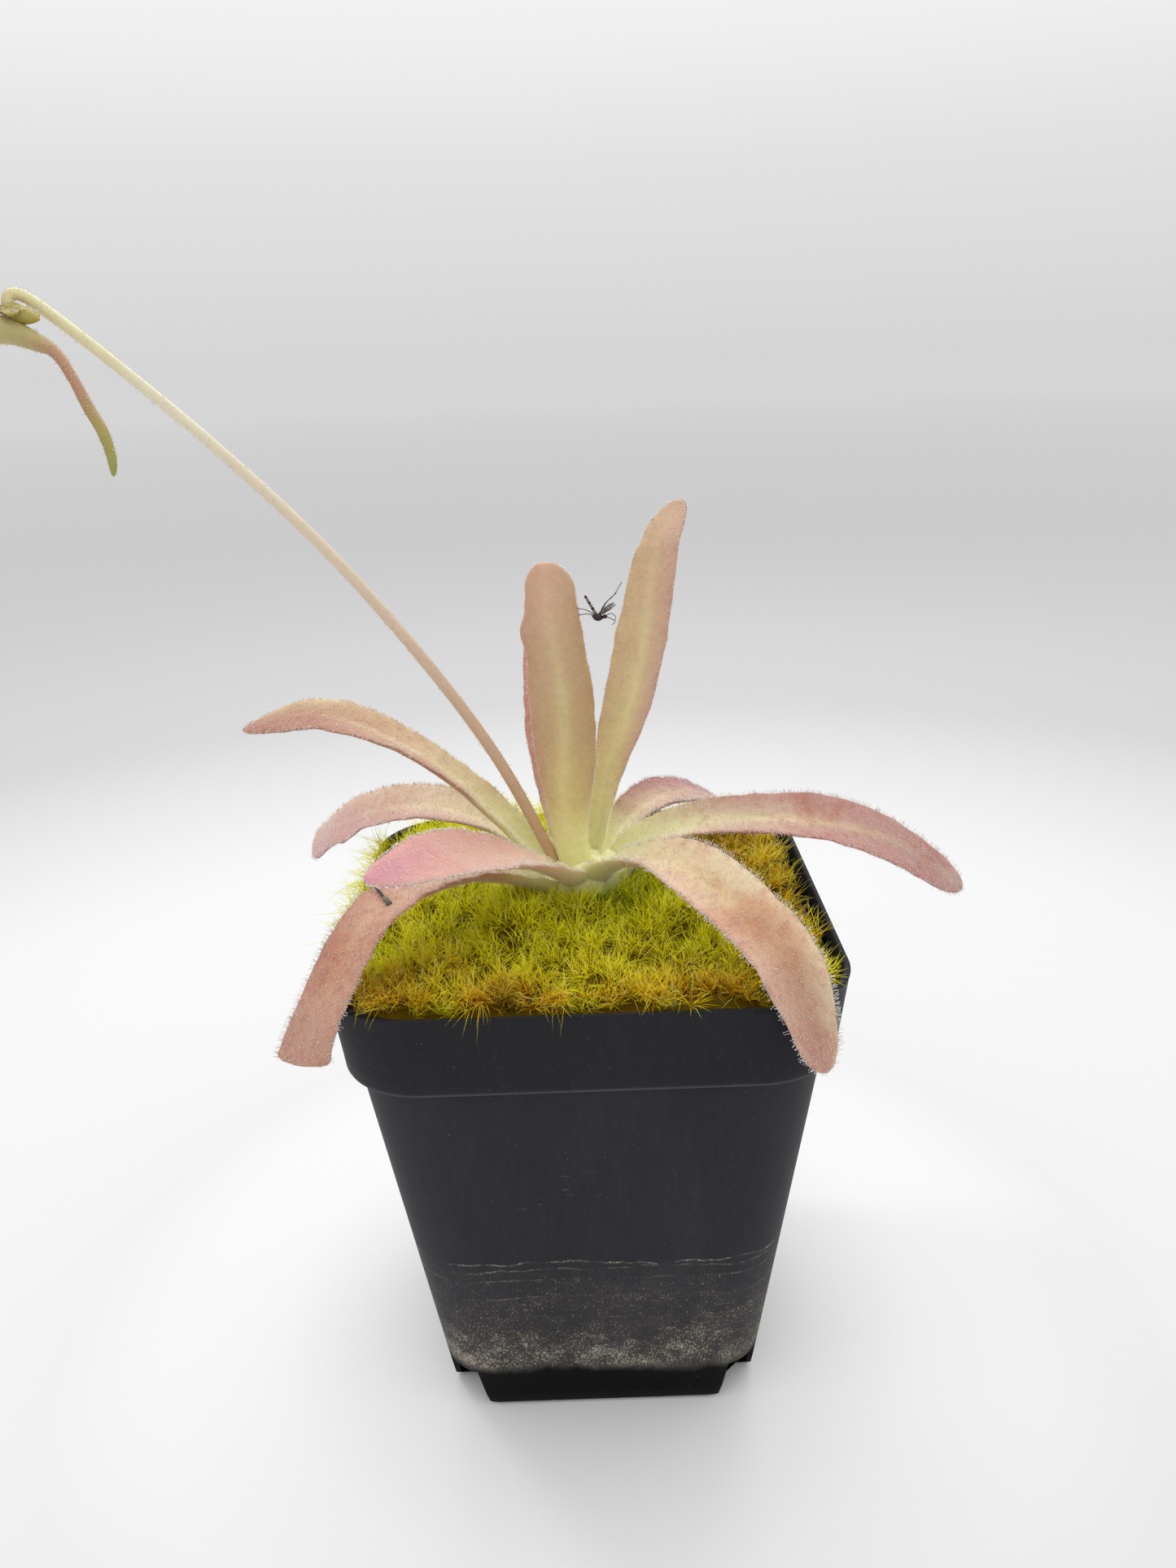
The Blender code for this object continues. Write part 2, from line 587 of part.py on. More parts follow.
def add_blades(cushion, spots, inside, roots, leaves, seed, fringe=()):
    """Fuse a star of leaning blades to each tuft of a cushion, and a fringe over the rim."""
    rng = random.Random(seed)
    blades = new_collection(cushion.name + " blades")
    for x, y in spots:
        start = rng.uniform(0, 360)
        for k in range(TUFT_BLADES):
            turn = math.radians(start + 360 / TUFT_BLADES * k + rng.uniform(-25, 25))
            lean = math.radians(rng.uniform(16, 50))
            length = rng.uniform(*BLADE_LENGTH)
            if not inside(x, y):
                continue
            outward = np.array([math.cos(turn), math.sin(turn), 0.0])
            root = np.array([x, y, roots(x, y) - ROOT_DEPTH]) + outward * BLADE_BASE * 1.4
            tip = root + length * (outward * math.sin(lean) + np.array([0, 0, math.cos(lean)]))
            near = min(np.linalg.norm(leaves - p, axis=1).min() for p in (tip, (root + tip) / 2))
            if near > LEAF_CLEARANCE and inside(*tip[:2]):
                blade(blades, root, tip)
    for root, tip in fringe:
        if np.linalg.norm(leaves - tip, axis=1).min() > LEAF_CLEARANCE:
            blade(blades, root, tip)
    fuse(cushion, blades)


def rim_fringe(count, seed, out):
    """Strands rooted just inside the rim that lie over it: out is the direction away from the pot."""
    rng = random.Random(seed)
    out = np.array([*out, 0.0])
    along = np.array([-out[1], out[0], 0.0])
    strands = []
    for k in range(count):
        place = (k - (count - 1) / 2 + rng.uniform(-0.3, 0.3)) * FRINGE_SPAN / count
        reach = rng.uniform(*FRINGE_REACH)
        drift = rng.uniform(-1.6, 1.6)
        drop = rng.uniform(0.0, 0.6)
        root = out * (MOSS_HALF - 1.0) + along * place + np.array([0, 0, MOSS_EDGE - 0.2])
        strands.append((root, root + out * reach + along * drift - np.array([0, 0, drop])))
    return strands


def build_moss(parts, cutters):
    green = material("green moss", (0.27, 0.29, 0.03), 0.9)
    rust = material("rusty moss", (0.36, 0.17, 0.03), 0.9)
    tufts = scatter(TUFT_SPACING, TUFT_SEED)
    spots = [(x, y) for x, y in tufts if abs(y) < MOSS_HALF - 2 and abs(x) < wall_reach(y, MOSS_HALF) - 2]
    leaves = leaf_cloud()
    half = GAP / 2 + 0.05      # each cushion's share of the gap between two of them
    margin = BORDER_MARGIN
    free_back = MOSS_HALF - MOSS_INSET_BACK

    def height(x, y):
        return moss_height(x, y, leaves, tufts)

    def roots(x, y):
        return moss_height(x, y, leaves)

    def low_height(x, y):
        return moss_height(x, y, leaves, tufts, MOSS_SINK)

    def low_roots(x, y):
        return moss_height(x, y, leaves, sink=MOSS_SINK)

    def behind_front(a, b, back):
        """y from the front border, which waves, to a straight back edge."""
        wave = front_border(2 * MOSS_HALF * (a - 0.5)) + half
        return wave * (1 - b) + back * b

    def green_area(a, b):
        y = behind_front(a * 0.85, b, MOSS_HALF)
        return -wall_reach(y, MOSS_HALF) * (1 - a) + (moss_border(y) - half) * a, y

    def front_area(a, b):
        wave = front_border(2 * MOSS_HALF * (a - 0.5)) - half
        y = -MOSS_HALF * (1 - b) + wave * b
        return wall_reach(y, MOSS_HALF) * (2 * a - 1), y

    def right_area(a, b):
        y = behind_front(0.85 + a * 0.15, b, free_back)
        reach = wall_reach(y, MOSS_HALF) - MOSS_INSET_RIGHT
        return (moss_border(y) + half) * (1 - a) + reach * a, y

    def in_green(x, y):
        clear = math.hypot(x - CROWN[0], y - CROWN[1]) > MOSS_CLEARING + BLADE_BASE
        return clear and x < moss_border(y) - margin and y > front_border(x) + margin

    def in_front(x, y):
        return y < front_border(x) - margin

    def in_right(x, y):
        free_right = wall_reach(y, MOSS_HALF) - MOSS_INSET_RIGHT
        across = moss_border(y) + margin < x < free_right - 1.5
        return across and front_border(x) + margin < y < free_back - 1.5

    cushion = moss_mat("moss_green", green_area, 14, 15, height, parts, green)
    add_blades(cushion, spots, in_green, roots, leaves, 21, rim_fringe(FRINGE_LEFT, 31, (-1, 0)))
    clearing = round_cutter("crown_clearing", MOSS_CLEARING, SOIL_TOP, POT_HEIGHT + 12, cutters)
    add_boolean(cushion, "DIFFERENCE", clearing)
    cushion = moss_mat("moss_front", front_area, 20, 3, height, parts, rust)
    add_blades(cushion, spots, in_front, roots, leaves, 22, rim_fringe(FRINGE_FRONT, 32, (0, -1)))
    cushion = moss_mat("moss_right", right_area, 5, 14, low_height, parts, rust)
    add_blades(cushion, spots, in_right, low_roots, leaves, 23)


def build_scape(parts):
    beige = material("pink beige stalk", (0.68, 0.55, 0.40), 0.5)
    points, _ = spline(SCAPE_PATH, np.linspace(0, 1, SCAPE_STEPS + 1))
    curve = bpy.data.curves.new("scape", "CURVE")
    curve.dimensions = "3D"
    curve.bevel_depth = MM
    curve.bevel_resolution = 1
    curve.use_fill_caps = True
    line = curve.splines.new("POLY")
    line.points.add(len(points) - 1)
    for i, (point, place) in enumerate(zip(line.points, points)):
        point.co = (*(place * MM), 1.0)
        point.radius = SCAPE_RADIUS[0] + (SCAPE_RADIUS[1] - SCAPE_RADIUS[0]) * i / SCAPE_STEPS
    curve.materials.append(beige)
    parts.objects.link(bpy.data.objects.new("scape", curve))


def axis_frame(direction):
    """Two directions square to a line, the second one as near upright as it can be."""
    axis = np.asarray(direction, float)
    axis /= np.linalg.norm(axis)
    side = np.cross(axis, (0, 0, 1))
    side /= np.linalg.norm(side)
    return axis, side, np.cross(side, axis)


def sepal(name, angle, rise, collection):
    """A pointed blade that lies out from the calyx and curves up or down by rise."""
    direction = (math.cos(math.radians(angle)), math.sin(math.radians(angle)))
    centre = np.array(CALYX_CENTRE)
    rings = []
    for reach, width in ((0.2, 0.6), (0.5, 1.0), (0.8, 0.6), (1.0, 0.2)):
        out = reach * SEPAL_LENGTH
        middle = centre + np.array([direction[0] * out, direction[1] * out, rise * reach ** 2])
        across = np.array([-direction[1], direction[0], 0]) * SEPAL_WIDTH * width / 2
        up = np.array([0, 0, SEPAL_THICK / 2])
        rings.append([middle - across - up, middle + across - up, middle + across + up, middle - across + up])
    return mesh_object(name, *loft(rings), collection)


def build_calyx(parts):
    olive = material("olive calyx", (0.40, 0.36, 0.07), 0.5)
    bm = bmesh.new()
    bmesh.ops.create_uvsphere(bm, u_segments=10, v_segments=6, radius=CALYX_RADIUS * MM)
    bmesh.ops.scale(bm, verts=bm.verts, vec=(1, 1, 0.6))
    bmesh.ops.translate(bm, verts=bm.verts, vec=[c * MM for c in CALYX_CENTRE])
    mesh = bpy.data.meshes.new("calyx")
    bm.to_mesh(mesh)
    bm.free()
    mesh.materials.append(olive)
    calyx = bpy.data.objects.new("calyx", mesh)
    parts.objects.link(calyx)
    sepals = new_collection("sepals")
    for index, (angle, rise) in enumerate(SEPALS):
        sepal(f"sepal_{index}", angle, rise, sepals)
    fuse(calyx, sepals)


def tube_ring(centre, axis, radius, count=12):
    _, side, up = axis_frame(axis)
    return [np.asarray(centre) + side * radius * math.cos(2 * math.pi * k / count)
            + up * radius * math.sin(2 * math.pi * k / count) for k in range(count)]


def build_corolla_tube(parts):
    """The spur and the flower's tube, one hollow horn that opens at the throat."""
    olive = material("olive corolla tube", (0.50, 0.42, 0.18), 0.5)
    path = np.array(SPUR_PATH + TUBE_PATH, float)
    radii = SPUR_RADII + TUBE_RADII
    axes = np.gradient(path, axis=0)
    rings = [tube_ring(c, a, r) for c, a, r in zip(path, axes, radii)]
    front, axis = path[-1], axes[-1] / np.linalg.norm(axes[-1])
    rings.append(tube_ring(front, axis, TUBE_RADII[-1] - TUBE_WALL))
    rings.append(tube_ring(front - axis * THROAT_DEPTH, axis, TUBE_RADII[0] - TUBE_WALL - 0.3))
    mesh_object("corolla_tube", *loft(rings), parts, olive, 40)


def lobe_outline(angle):
    """Distance from the throat's axis to the limb's edge: five lobes, the lowest the longest."""
    wave = abs(math.cos(2.5 * (angle - math.radians(270)))) ** 0.55
    reach = LOBE_REACH * (0.93 - 0.07 * math.sin(angle))
    return LOBE_NOTCH + (reach - LOBE_NOTCH) * wave


def build_corolla_limb(parts):
    """The five petal lobes, one flared sheet with a hole over the throat."""
    violet = material("violet petal", (0.62, 0.36, 0.62), 0.5)
    front = np.array(TUBE_PATH[-1])
    axis, side, up = axis_frame(front - np.array(TUBE_PATH[-2]))
    flare = math.tan(math.radians(LOBE_FLARE))
    throat = TUBE_RADII[-1] - TUBE_WALL
    front = front + axis * (GAP + LOBE_THICK / 2)

    def ring(share, offset):
        points = []
        for k in range(LOBE_POINTS):
            angle = 2 * math.pi * k / LOBE_POINTS
            reach = throat + (lobe_outline(angle) - throat) * share
            forward = flare * (reach - throat) - 0.045 * (reach - throat) ** 2 + offset
            out = side * math.cos(angle) + up * math.sin(angle)
            points.append(front + out * reach + axis * forward)
        return points

    shares = [k / LOBE_STATIONS for k in range(LOBE_STATIONS + 1)]
    rings = [ring(s, LOBE_THICK / 2) for s in shares] + [ring(s, -LOBE_THICK / 2) for s in reversed(shares)]
    points, faces = loft(rings, closed=True)
    split = []
    for index, (a, b, c, d) in enumerate(faces):
        below = LOBE_STATIONS < index // LOBE_POINTS < 2 * LOBE_STATIONS + 1
        split += [(a, b, d), (b, c, d)] if below else [(a, b, c), (a, c, d)]
    mesh_object("corolla_limb", points, split, parts, violet, 40)


def main():
    clear_scene()
    parts = new_collection("potted butterwort")
    cutters = new_collection("cutters")
    build_pot(parts, cutters)
    build_soil(parts, cutters)
    build_moss(parts, cutters)
    build_crown(parts)
    build_leaves(parts)
    build_scape(parts)
    build_calyx(parts)
    build_corolla_tube(parts)
    build_corolla_limb(parts)


main()
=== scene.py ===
"""Looks of a butterwort in flower, in a square nursery pot topped with moss.

Lengths are in millimetres and become metres in the meshes, in the same frame as
the solids: +Z up, +X to the right, -Y to the front, origin under the pot's foot.
Leaf, stalk and pot forms repeat the named values that the solids are made from.
"""
import math
import random

import bmesh
import bpy
import numpy as np
from mathutils import Matrix, Vector
from mathutils.kdtree import KDTree


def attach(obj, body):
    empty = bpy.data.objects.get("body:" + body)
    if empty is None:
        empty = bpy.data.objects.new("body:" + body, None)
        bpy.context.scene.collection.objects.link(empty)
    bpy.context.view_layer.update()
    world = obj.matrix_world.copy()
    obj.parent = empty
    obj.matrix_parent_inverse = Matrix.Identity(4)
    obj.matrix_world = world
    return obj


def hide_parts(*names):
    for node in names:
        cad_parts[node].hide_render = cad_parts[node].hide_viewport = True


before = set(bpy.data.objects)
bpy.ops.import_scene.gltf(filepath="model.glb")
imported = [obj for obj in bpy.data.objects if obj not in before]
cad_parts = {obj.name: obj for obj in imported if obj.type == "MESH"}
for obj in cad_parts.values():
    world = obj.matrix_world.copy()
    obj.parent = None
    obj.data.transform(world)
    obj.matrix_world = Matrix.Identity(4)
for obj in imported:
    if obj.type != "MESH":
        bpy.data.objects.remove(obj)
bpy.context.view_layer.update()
MM = 0.001

# Pot
POT_HEIGHT = 82.0
RIM_HALF = 38.1
BAND_LOW_HALF = 36.6
BAND_HEIGHT = 13.2
BAND_STEP = 1.5
FOOT_HALF = 25.5
RIM_CORNER = 13.7
FOOT_CORNER = 7.8
WALL = 0.9
FLOOR = 1.3
BAND_LOW = POT_HEIGHT - BAND_HEIGHT
NOTCH_HEIGHT = 8.0
NOTCH_PROFILE = [(NOTCH_HEIGHT, 20.8), (3.0, 19.8), (1.0, 19.2), (0.0, 18.3), (-1.0, 17.3)]
NOTCH_OUTLINE = ((30, 30), (30, 0), (2.2, 0), (1.3, 0.3), (0.3, 1.3), (0, 2.2), (0, 30))
CORNER_STEPS = 18

# Small radii on the pot's edges, each point as how far out and up from its edge
FOOT_ROUND = ((-1.1, 0.0), (-0.6, 0.12), (-0.2, 0.45))
STEP_ROUND = ((0.02, -0.15), (0.2, -0.02))
BAND_ROUND = ((-0.25, 0.0), (-0.07, 0.06), (0.0, 0.25))
RIM_ROUND = ((-0.02, -0.35), (-0.15, -0.1), (-0.4, 0.0), (-0.66, -0.06), (-0.85, -0.3))

# Dried dirt: each tide line's height, how far its veil wanders, its noise scale and
# detail, and how strong veil and line are; heights in metres
TIDE_LINES = ((0.0172, 0.0160, 105, 5, 0.08, 0.50), (0.0134, 0.0130, 160, 4, 0.07, 0.16),
              (0.0216, 0.0070, 80, 4, 0.035, 0.40), (0.0262, 0.0050, 48, 4, 0.03, 0.34),
              (0.0300, 0.0008, 40, 2, 0.02, 0.42), (0.0322, 0.0030, 120, 4, 0.02, 0.50),
              (0.0337, 0.0060, 44, 5, 0.03, 0.68))

# Soil, and the stones on the strips that the moss leaves bare
SOIL_SEED = 41
SOIL_TOP = 79.3
SOIL_CORNER_STEPS = 8
SOIL_STONES = 900
STONE_SIZES = (0.28, 0.4, 0.6, 0.85, 1.1)
STONE_SHARES = (0.3, 0.3, 0.2, 0.13, 0.07)
WALL_GAP = 0.3
BARE_OVERLAP = 1.2

# Moss: its form, and the borders between the green, front and right cushions
MOSS_SEED = 61
MOSS_EDGE = 83.2
MOSS_DOME = 2.8
MOSS_SINK = 1.4
MOSS_HALF = 36.5
MOSS_SPLIT_Y = -26.5
MOSS_INSET_RIGHT = 3.8
MOSS_INSET_BACK = 4.2
MOSS_SPARE = 0.8
MOSS_DEPTH = 2.4
MOSS_GAP = 0.2
BORDER_X = 16.5
BORDER_SLOPE = 0.36
GREEN_SHARE = 0.85
RIGHT_SHARE = 0.15
CROWN_CLEARING = 7.0

# A leaf lower than this presses down the moss that lies this near to it
LOW_LEAF = 96
LEAF_SHADE = 2.1
MOSS_BATCH = 800

# Shoots, chips and their colours
RIM_BLADES = 6
DROOP = 0.26
HANG_SPREAD = 1.3
HANG_CURL = 1.25
CHIPS = 70
CHIP_SIZES = (0.45, 0.7, 1.0)
CHIP_FLATNESS = 0.45
CHIP_TONES = ("#C08A56", "#8A5A32", "#D8AE7A", "#5E3C20")
LESS_BLUE = (1, 1, 0.4)
MOSS_TONES = ((0.0, "#AEBE16"), (0.2, "#F0E41C"), (0.38, "#FFEC28"), (0.55, "#FFCA2C"), (0.72, "#EA9229"),
              (0.88, "#B66C26"), (1.0, "#7C4A20"))

# Places with more or less rust: x, y, reach and change
RUST_PATCHES = ((-11, -34, 3.6, 0.42), (-27, -31, 4.0, 0.40), (-2, -34, 3.4, -0.24), (7, -34, 3.2, 0.12),
                (17, -34.5, 3.0, 0.22))

# Crown and leaves
CROWN = (-0.5, 0.0)
CROWN_PROFILE = [(0.0, 88.4), (1.0, 88.2), (1.8, 87.5), (1.95, 86.4), (3.2, 86.0), (3.8, 85.2),
                 (4.6, 84.7), (4.9, 83.6), (4.7, 79.5), (3.8, 75.0), (2.4, 72.4), (0.0, 71.8)]
COLLAR_PROFILE = [(4.8, 79.8), (6.0, 81.4), (6.9, 83.2), (7.2, 85.0), (7.0, 86.6), (6.2, 87.9), (4.6, 88.9),
                  (2.2, 89.4), (0.0, 89.5)]
COLLAR_SCALES = 7
COLLAR_FOLDS_FROM = 84
LOW_RING = (6.0, 84.6)
MIDDLE_RING = (4.9, 86.1)
INNER_RING = (3.0, 86.9)
LEAF_SEED = 100
LEAF_STATIONS = 96
LEAF_CROWDING = 0.45
LEAF_COLUMNS = 23
LEAF_THICK = 1.35
LEAF_THIN = 0.6
LEAF_MIN_HALF = 0.12
LEAF_CUP = (75, 45, 20, 0)
UPRIGHT_CUP = (60, 35, 20, 15)
PALE_FOOT = 0.24
LEAF_CLOUD_STEP = 3
LEAF_SMOOTHING = 9
SHEATH_REACH = 0.11
RIB_HALF, RIB_RISE, RIB_DIP = 0.13, 0.10, 0.16
GROOVE_PLACE, GROOVE_HALF, GROOVE_DEPTH = 0.24, 0.06, 0.05

# The leaves as in the solids, and what each one's skin adds: colours from base to tip
# and at the two margins, how clear its midrib and its patches are, and how long its
# glands stand. A cup is given from base to tip in degrees, a wave as its place, margin
# and depth. Skew slants the tip, and pale is how far up the pale foot reaches.
LEAVES = {
    "leaf_upright_front": dict(
        ring=INNER_RING, base=260, facing=252, tip=4.0,
        path=[(-2.1, -3.6, 92), (-2.5, -4.2, 103), (-2.7, -5, 114), (-3.4, -5.5, 127), (-4, -6, 138)],
        widths=(4.4, 6.8, 10.2, 10.5, 8.7, 7.3), roll=(6, 10, -2), cup=UPRIGHT_CUP,
        waves=((0.80, -1, 1.0),), sheath=0.25, rib=0.75, patches=0.2, fuzz=0.5,
        colours=("#E6DE9C", "#DCCE8A", "#CCB484", "#CDB28C", "#DAB69E"), margins=("#BE957C", "#B8986E")),
    "leaf_upright_right": dict(
        ring=INNER_RING, base=25, facing=60, tip=5.0,
        path=[(2.8, 2.8, 92), (4.6, 5.8, 101.5), (8.3, 9.6, 112.5), (11.4, 13, 125), (14.3, 16.4, 137),
              (18, 20, 143.2)],
        widths=(3.2, 4.8, 8.4, 9.2, 8.3, 5.1), roll=(4, 10, -6), cup=UPRIGHT_CUP,
        sheath=0.4, rib=0.9, patches=0.2, fuzz=0.5,
        colours=("#E6DE9C", "#DED094", "#D8C496", "#CEB18C", "#C4A088"), margins=("#C49C8C", "#CCB288")),
    "leaf_upright_back": dict(
        ring=INNER_RING, base=122, facing=110, tip=4.0,
        path=[(-4, 4.4, 93), (-5, 7, 104), (-5, 9.2, 116), (-4.5, 12, 131)],
        widths=(3.4, 6.1, 9.1, 8.9, 6.7), roll=(-3, -1, 3), cup=UPRIGHT_CUP,
        sheath=0.3, rib=0.4, patches=0.3, fuzz=0.55,
        colours=("#E0D4A0", "#DABCA2", "#D8B0A0", "#D4A49C", "#D4A29E"), margins=("#DCB0A6", "#DAA49C")),
    "leaf_left_high": dict(
        ring=MIDDLE_RING, base=160, facing=165, tip=11.0,
        path=[(-9, 1.6, 90.2), (-14.2, 2.2, 95.8), (-20.5, 3.6, 101.7), (-32, 6, 109), (-43, 8.5, 112),
              (-56, 10.5, 109.4)],
        widths=(4.2, 7.2, 7.4, 8.9, 8.6, 4.2), roll=(-12, -2, -34),
        sheath=0.5, rib=0.6, patches=0.7, fuzz=0.6,
        colours=("#D8D484", "#D6CC96", "#CAB08E", "#AA7A62", "#AE7F72"), margins=("#D0BC92", "#A67258")),
    "leaf_left_low": dict(
        ring=LOW_RING, base=122, facing=150, tip=3.0,
        path=[(-8.6, 7.8, 87.4), (-15.5, 10.4, 91), (-25.5, 14.5, 93), (-34.5, 19, 91.5), (-42.5, 23, 88),
              (-51, 26.5, 81)],
        widths=(4.2, 6.4, 8.9, 9.5, 9.4, 7.0), roll=(0, -25, -45),
        waves=((0.78, 1, 1.2),), sheath=0.6, rib=0.5, patches=0.6, fuzz=0.65,
        colours=("#DED6A0", "#DED0AA", "#D8C0A4", "#C49A90", "#C8A6A2"), margins=("#DECAAE", "#BE8E86")),
    "leaf_front_left": dict(
        ring=MIDDLE_RING, base=251, facing=240, tip=4.0,
        path=[(-4.8, -9.6, 90.4), (-9.2, -14.4, 94.4), (-15, -23, 99.5), (-20, -34, 104), (-27, -44, 105.5)],
        widths=(4.8, 7.0, 9.0, 9.4, 7.9, 2.7), roll=(-6, -30, -33), cup=(75, 45, 20, -10),
        sheath=0.7, rib=0.2, patches=0.3, fuzz=0.45,
        colours=("#EAE0B4", "#EACAB0", "#D8A894", "#D69C98", "#C88696"),
        margins=("#D49E94", "#DAAE9C"), pale=0.09),
    "leaf_corner_left": dict(
        ring=LOW_RING, base=212, facing=224, tip=1.3,
        path=[(-10.6, -6.6, 88.0), (-19.5, -15.8, 92.8), (-29.5, -26.8, 92.6), (-35.6, -33, 84.4),
              (-40.4, -36.9, 75.0)],
        widths=(4.0, 6.4, 9.0, 9.6, 8.9, 8.2), roll=(-4, 2, -12), waves=((0.99, 1, 0.9),),
        sheath=0.9, rib=0.2, patches=1.0, fuzz=0.9, skew=-0.35,
        colours=("#DCD69C", "#D6BE9C", "#C8A286", "#C69A80", "#BA9080"), margins=("#B88674", "#BE8E76")),
    "leaf_corner_right": dict(
        ring=MIDDLE_RING, base=303, facing=307, tip=4.0,
        path=[(4.8, -8.6, 90.8), (12, -17, 95), (20, -27.5, 93.5), (27, -37, 88), (31.5, -43, 75)],
        widths=(4.6, 7.4, 10.5, 9.9, 9.9, 5.7), roll=(0, 24, 0),
        sheath=0.7, rib=0.15, patches=1.0, fuzz=0.9,
        colours=("#DED8A0", "#DACCA0", "#CCAE86", "#B88E6E", "#BA9488"), margins=("#D4B09A", "#E8D8B6")),
    "leaf_right": dict(
        ring=LOW_RING, base=358, facing=365, tip=5.5,
        path=[(8.6, 0.7, 89.2), (15.6, 1.7, 92.6), (27, 2.6, 93.4), (41, 4, 91.7), (51.5, 5, 87.2),
              (64.5, 6.5, 78)],
        widths=(4.6, 8.0, 9.2, 10.4, 9.3, 6.0), roll=(20, 30, 38),
        sheath=0.8, rib=0.75, patches=1.0, fuzz=0.9,
        colours=("#DED8A6", "#D6C8A2", "#C8A894", "#B68C82", "#B6968C"), margins=("#B8847C", "#BE8E86")),
    "leaf_back_right": dict(
        ring=MIDDLE_RING, base=52, facing=50, tip=4.0,
        path=[(5.6, 7.4, 89.9), (10.5, 12, 93), (17.5, 18.5, 92.4), (24.5, 25.5, 88.2), (29, 30, 83.5)],
        widths=(4.2, 7.0, 9.2, 9.5, 9.0, 6.0), roll=(4, 15, 15),
        sheath=0.6, rib=0.5, patches=0.5, fuzz=0.6,
        colours=("#D0C89C", "#CAB694", "#BC9484", "#B07A78", "#B07C7C"), margins=("#C6A490", "#A86A70")),
}
MARGIN_GLANDS = 1150
FACE_GLANDS = 1100
BELOW_GLANDS = 220
GLAND_LENGTH = (0.55, 1.05)
FACE_GLAND_LENGTH = (0.32, 0.62)
GLAND_HEAD = 0.074
GLAND_STALK = 0.030
GLAND_MESS = 0.22

# Flower stalk and flower
SCAPE_SEED = 51
CALYX_SEED = 52
HORN_SEED = 53
SCAPE_PATH = [(-3.8, -1.2, 86.6), (-5.8, -1.6, 91.3), (-12.6, -4.7, 107.5), (-21.6, -8.8, 123.8),
              (-33.8, -14.6, 142.3), (-46, -20.2, 157.3), (-57.5, -25.6, 169.7), (-61.6, -27.5, 173.7),
              (-63.0, -28.2, 174.9), (-64, -28.7, 175.2), (-64.4, -29, 174.6)]
SCAPE_END = [(-64.45, -29.05, 173.9), (-64.2, -29.05, 173.2)]
SCAPE_RADIUS = (0.95, 0.68)
SCAPE_SIDES = 16
SCAPE_GLANDS = 1300
CALYX_CENTRE = (-63.9, -29.0, 173.0)
CALYX_RADIUS = 1.4
CALYX_SIDES = 20
OVARY_FROM = (-0.4, -0.3, -0.1)
OVARY_WAY = (4.0, -0.9, -1.1)
SEPAL_LENGTH = 3.4
SEPAL_WIDTH = 2.1
SEPAL_STATIONS = 16
SEPAL_GLANDS = 70
SEPALS = ((-70, -0.7), (-12, -0.8), (88, 0.1), (125, 0.6), (190, 1.2))
SPUR_PATH = [(-52.8, -35.4, 154.4), (-52.9, -34.8, 156.2), (-53.8, -33.8, 159.2), (-55.4, -32.8, 162),
             (-57, -31.8, 165.2), (-59, -30.8, 168.2), (-61.4, -30.2, 169.5)]
SPUR_RADII = (0.35, 0.55, 0.68, 0.68, 0.6, 0.66, 1.1)
TUBE_PATH = [(-63.6, -30.1, 170.5), (-65.6, -30.3, 171.0), (-67.6, -30.6, 171.6)]
TUBE_RADII = (1.4, 1.7, 2.15)
TUBE_WALL = 0.4
THROAT_DEPTH = 3.2
HORN_SIDES = 24
HORN_GLANDS = 420
LOBE_REACH = 10.5
LOBE_NOTCH = 3.6
LOBE_THICK = 0.4
LOBE_FLARE = 22
LOBE_POINTS = 200
LOBE_STATIONS = 20
LOBE_OVERLAP = 0.65

# Insects, with legs and feelers given from the body part that carries them
GNAT_THORAX = (3.3, -6.0, 129.66)
GNAT_RINGS = 7
GNAT_FEET = ((0.4, -6.25, 130.1), (0.25, -6.4, 131.2))
GNAT_FREE_LEGS = (((1.5, 0, 2.3), (2.3, 0.3, 2.9), (3.7, 0.8, 4.9)),
                  ((1.0, 0.4, 1.7), (1.9, 0.5, 2.6), (2.9, 0.9, 3.3)))
GNAT_FEELERS = (((1.0, 0, -0.4), (1.5, 0.2, -0.9), (1.0, 0.1, -1.3)),
                ((0.9, 0.1, 0.4), (1.6, 0.2, -0.2), (1.4, 0.3, -0.8)))
REMAINS_PLACE = (-28.2, -25.1, 94.1)
REMAINS_LEGS = (((-0.9, 1.5, 0.5), (-2.3, 3.6, 0.8)), ((-1.1, 1.4, 0.4), (-1.9, 2.9, 0.6)))

# Stage, light and camera: the floor's and lamps' lengths are in metres
FLOOR_RINGS = (0.05, 0.1, 0.2, 0.35, 0.6, 1.0, 2.0, 4.0, 8.0, 20.0, 60.0)
FLOOR_REACH = 5.0
# Floor greys by distance from the middle, as shares of FLOOR_REACH: painted light, brightest right round the
# pot and falling off to a painted darker band further out
FLOOR_PAINTED_LIGHT = ((0.014, 0.84), (0.018, 0.71), (0.045, 0.68), (0.081, 0.51), (0.174, 0.53), (0.94, 0.595))
SKY_GREYS = ((0.0, 0.51), (0.14, 0.585), (0.225, 0.67), (0.5, 0.8), (1.0, 1.0))
SKY_STRENGTH = 1.3

# Each lamp's name, place, target, size and power
LAMPS = (("softbox", (0.05, 0.42, 0.55), (0, 0, 0.08), (0.5, 0.35), 1.05),
         ("glint lamp", (-0.25, 0.15, 0.5), (0, 0, 0.1), (0.08, 0.08), 0.3))
CAMERA_PLACE = (1.284, -177.013, 165.242)
CAMERA_TURN = (-0.0018, 0.3456, -0.0366)
CAMERA_SENSOR = 36
CAMERA_LENS = 27.03


# Colours and node helpers

def tint(code):
    """Linear colour from a hex code."""
    parts = [int(code[i:i + 2], 16) / 255 for i in (1, 3, 5)]
    return tuple(c / 12.92 if c <= 0.04045 else ((c + 0.055) / 1.055) ** 2.4 for c in parts) + (1.0,)


def rgb(code):
    return np.array(tint(code)[:3])


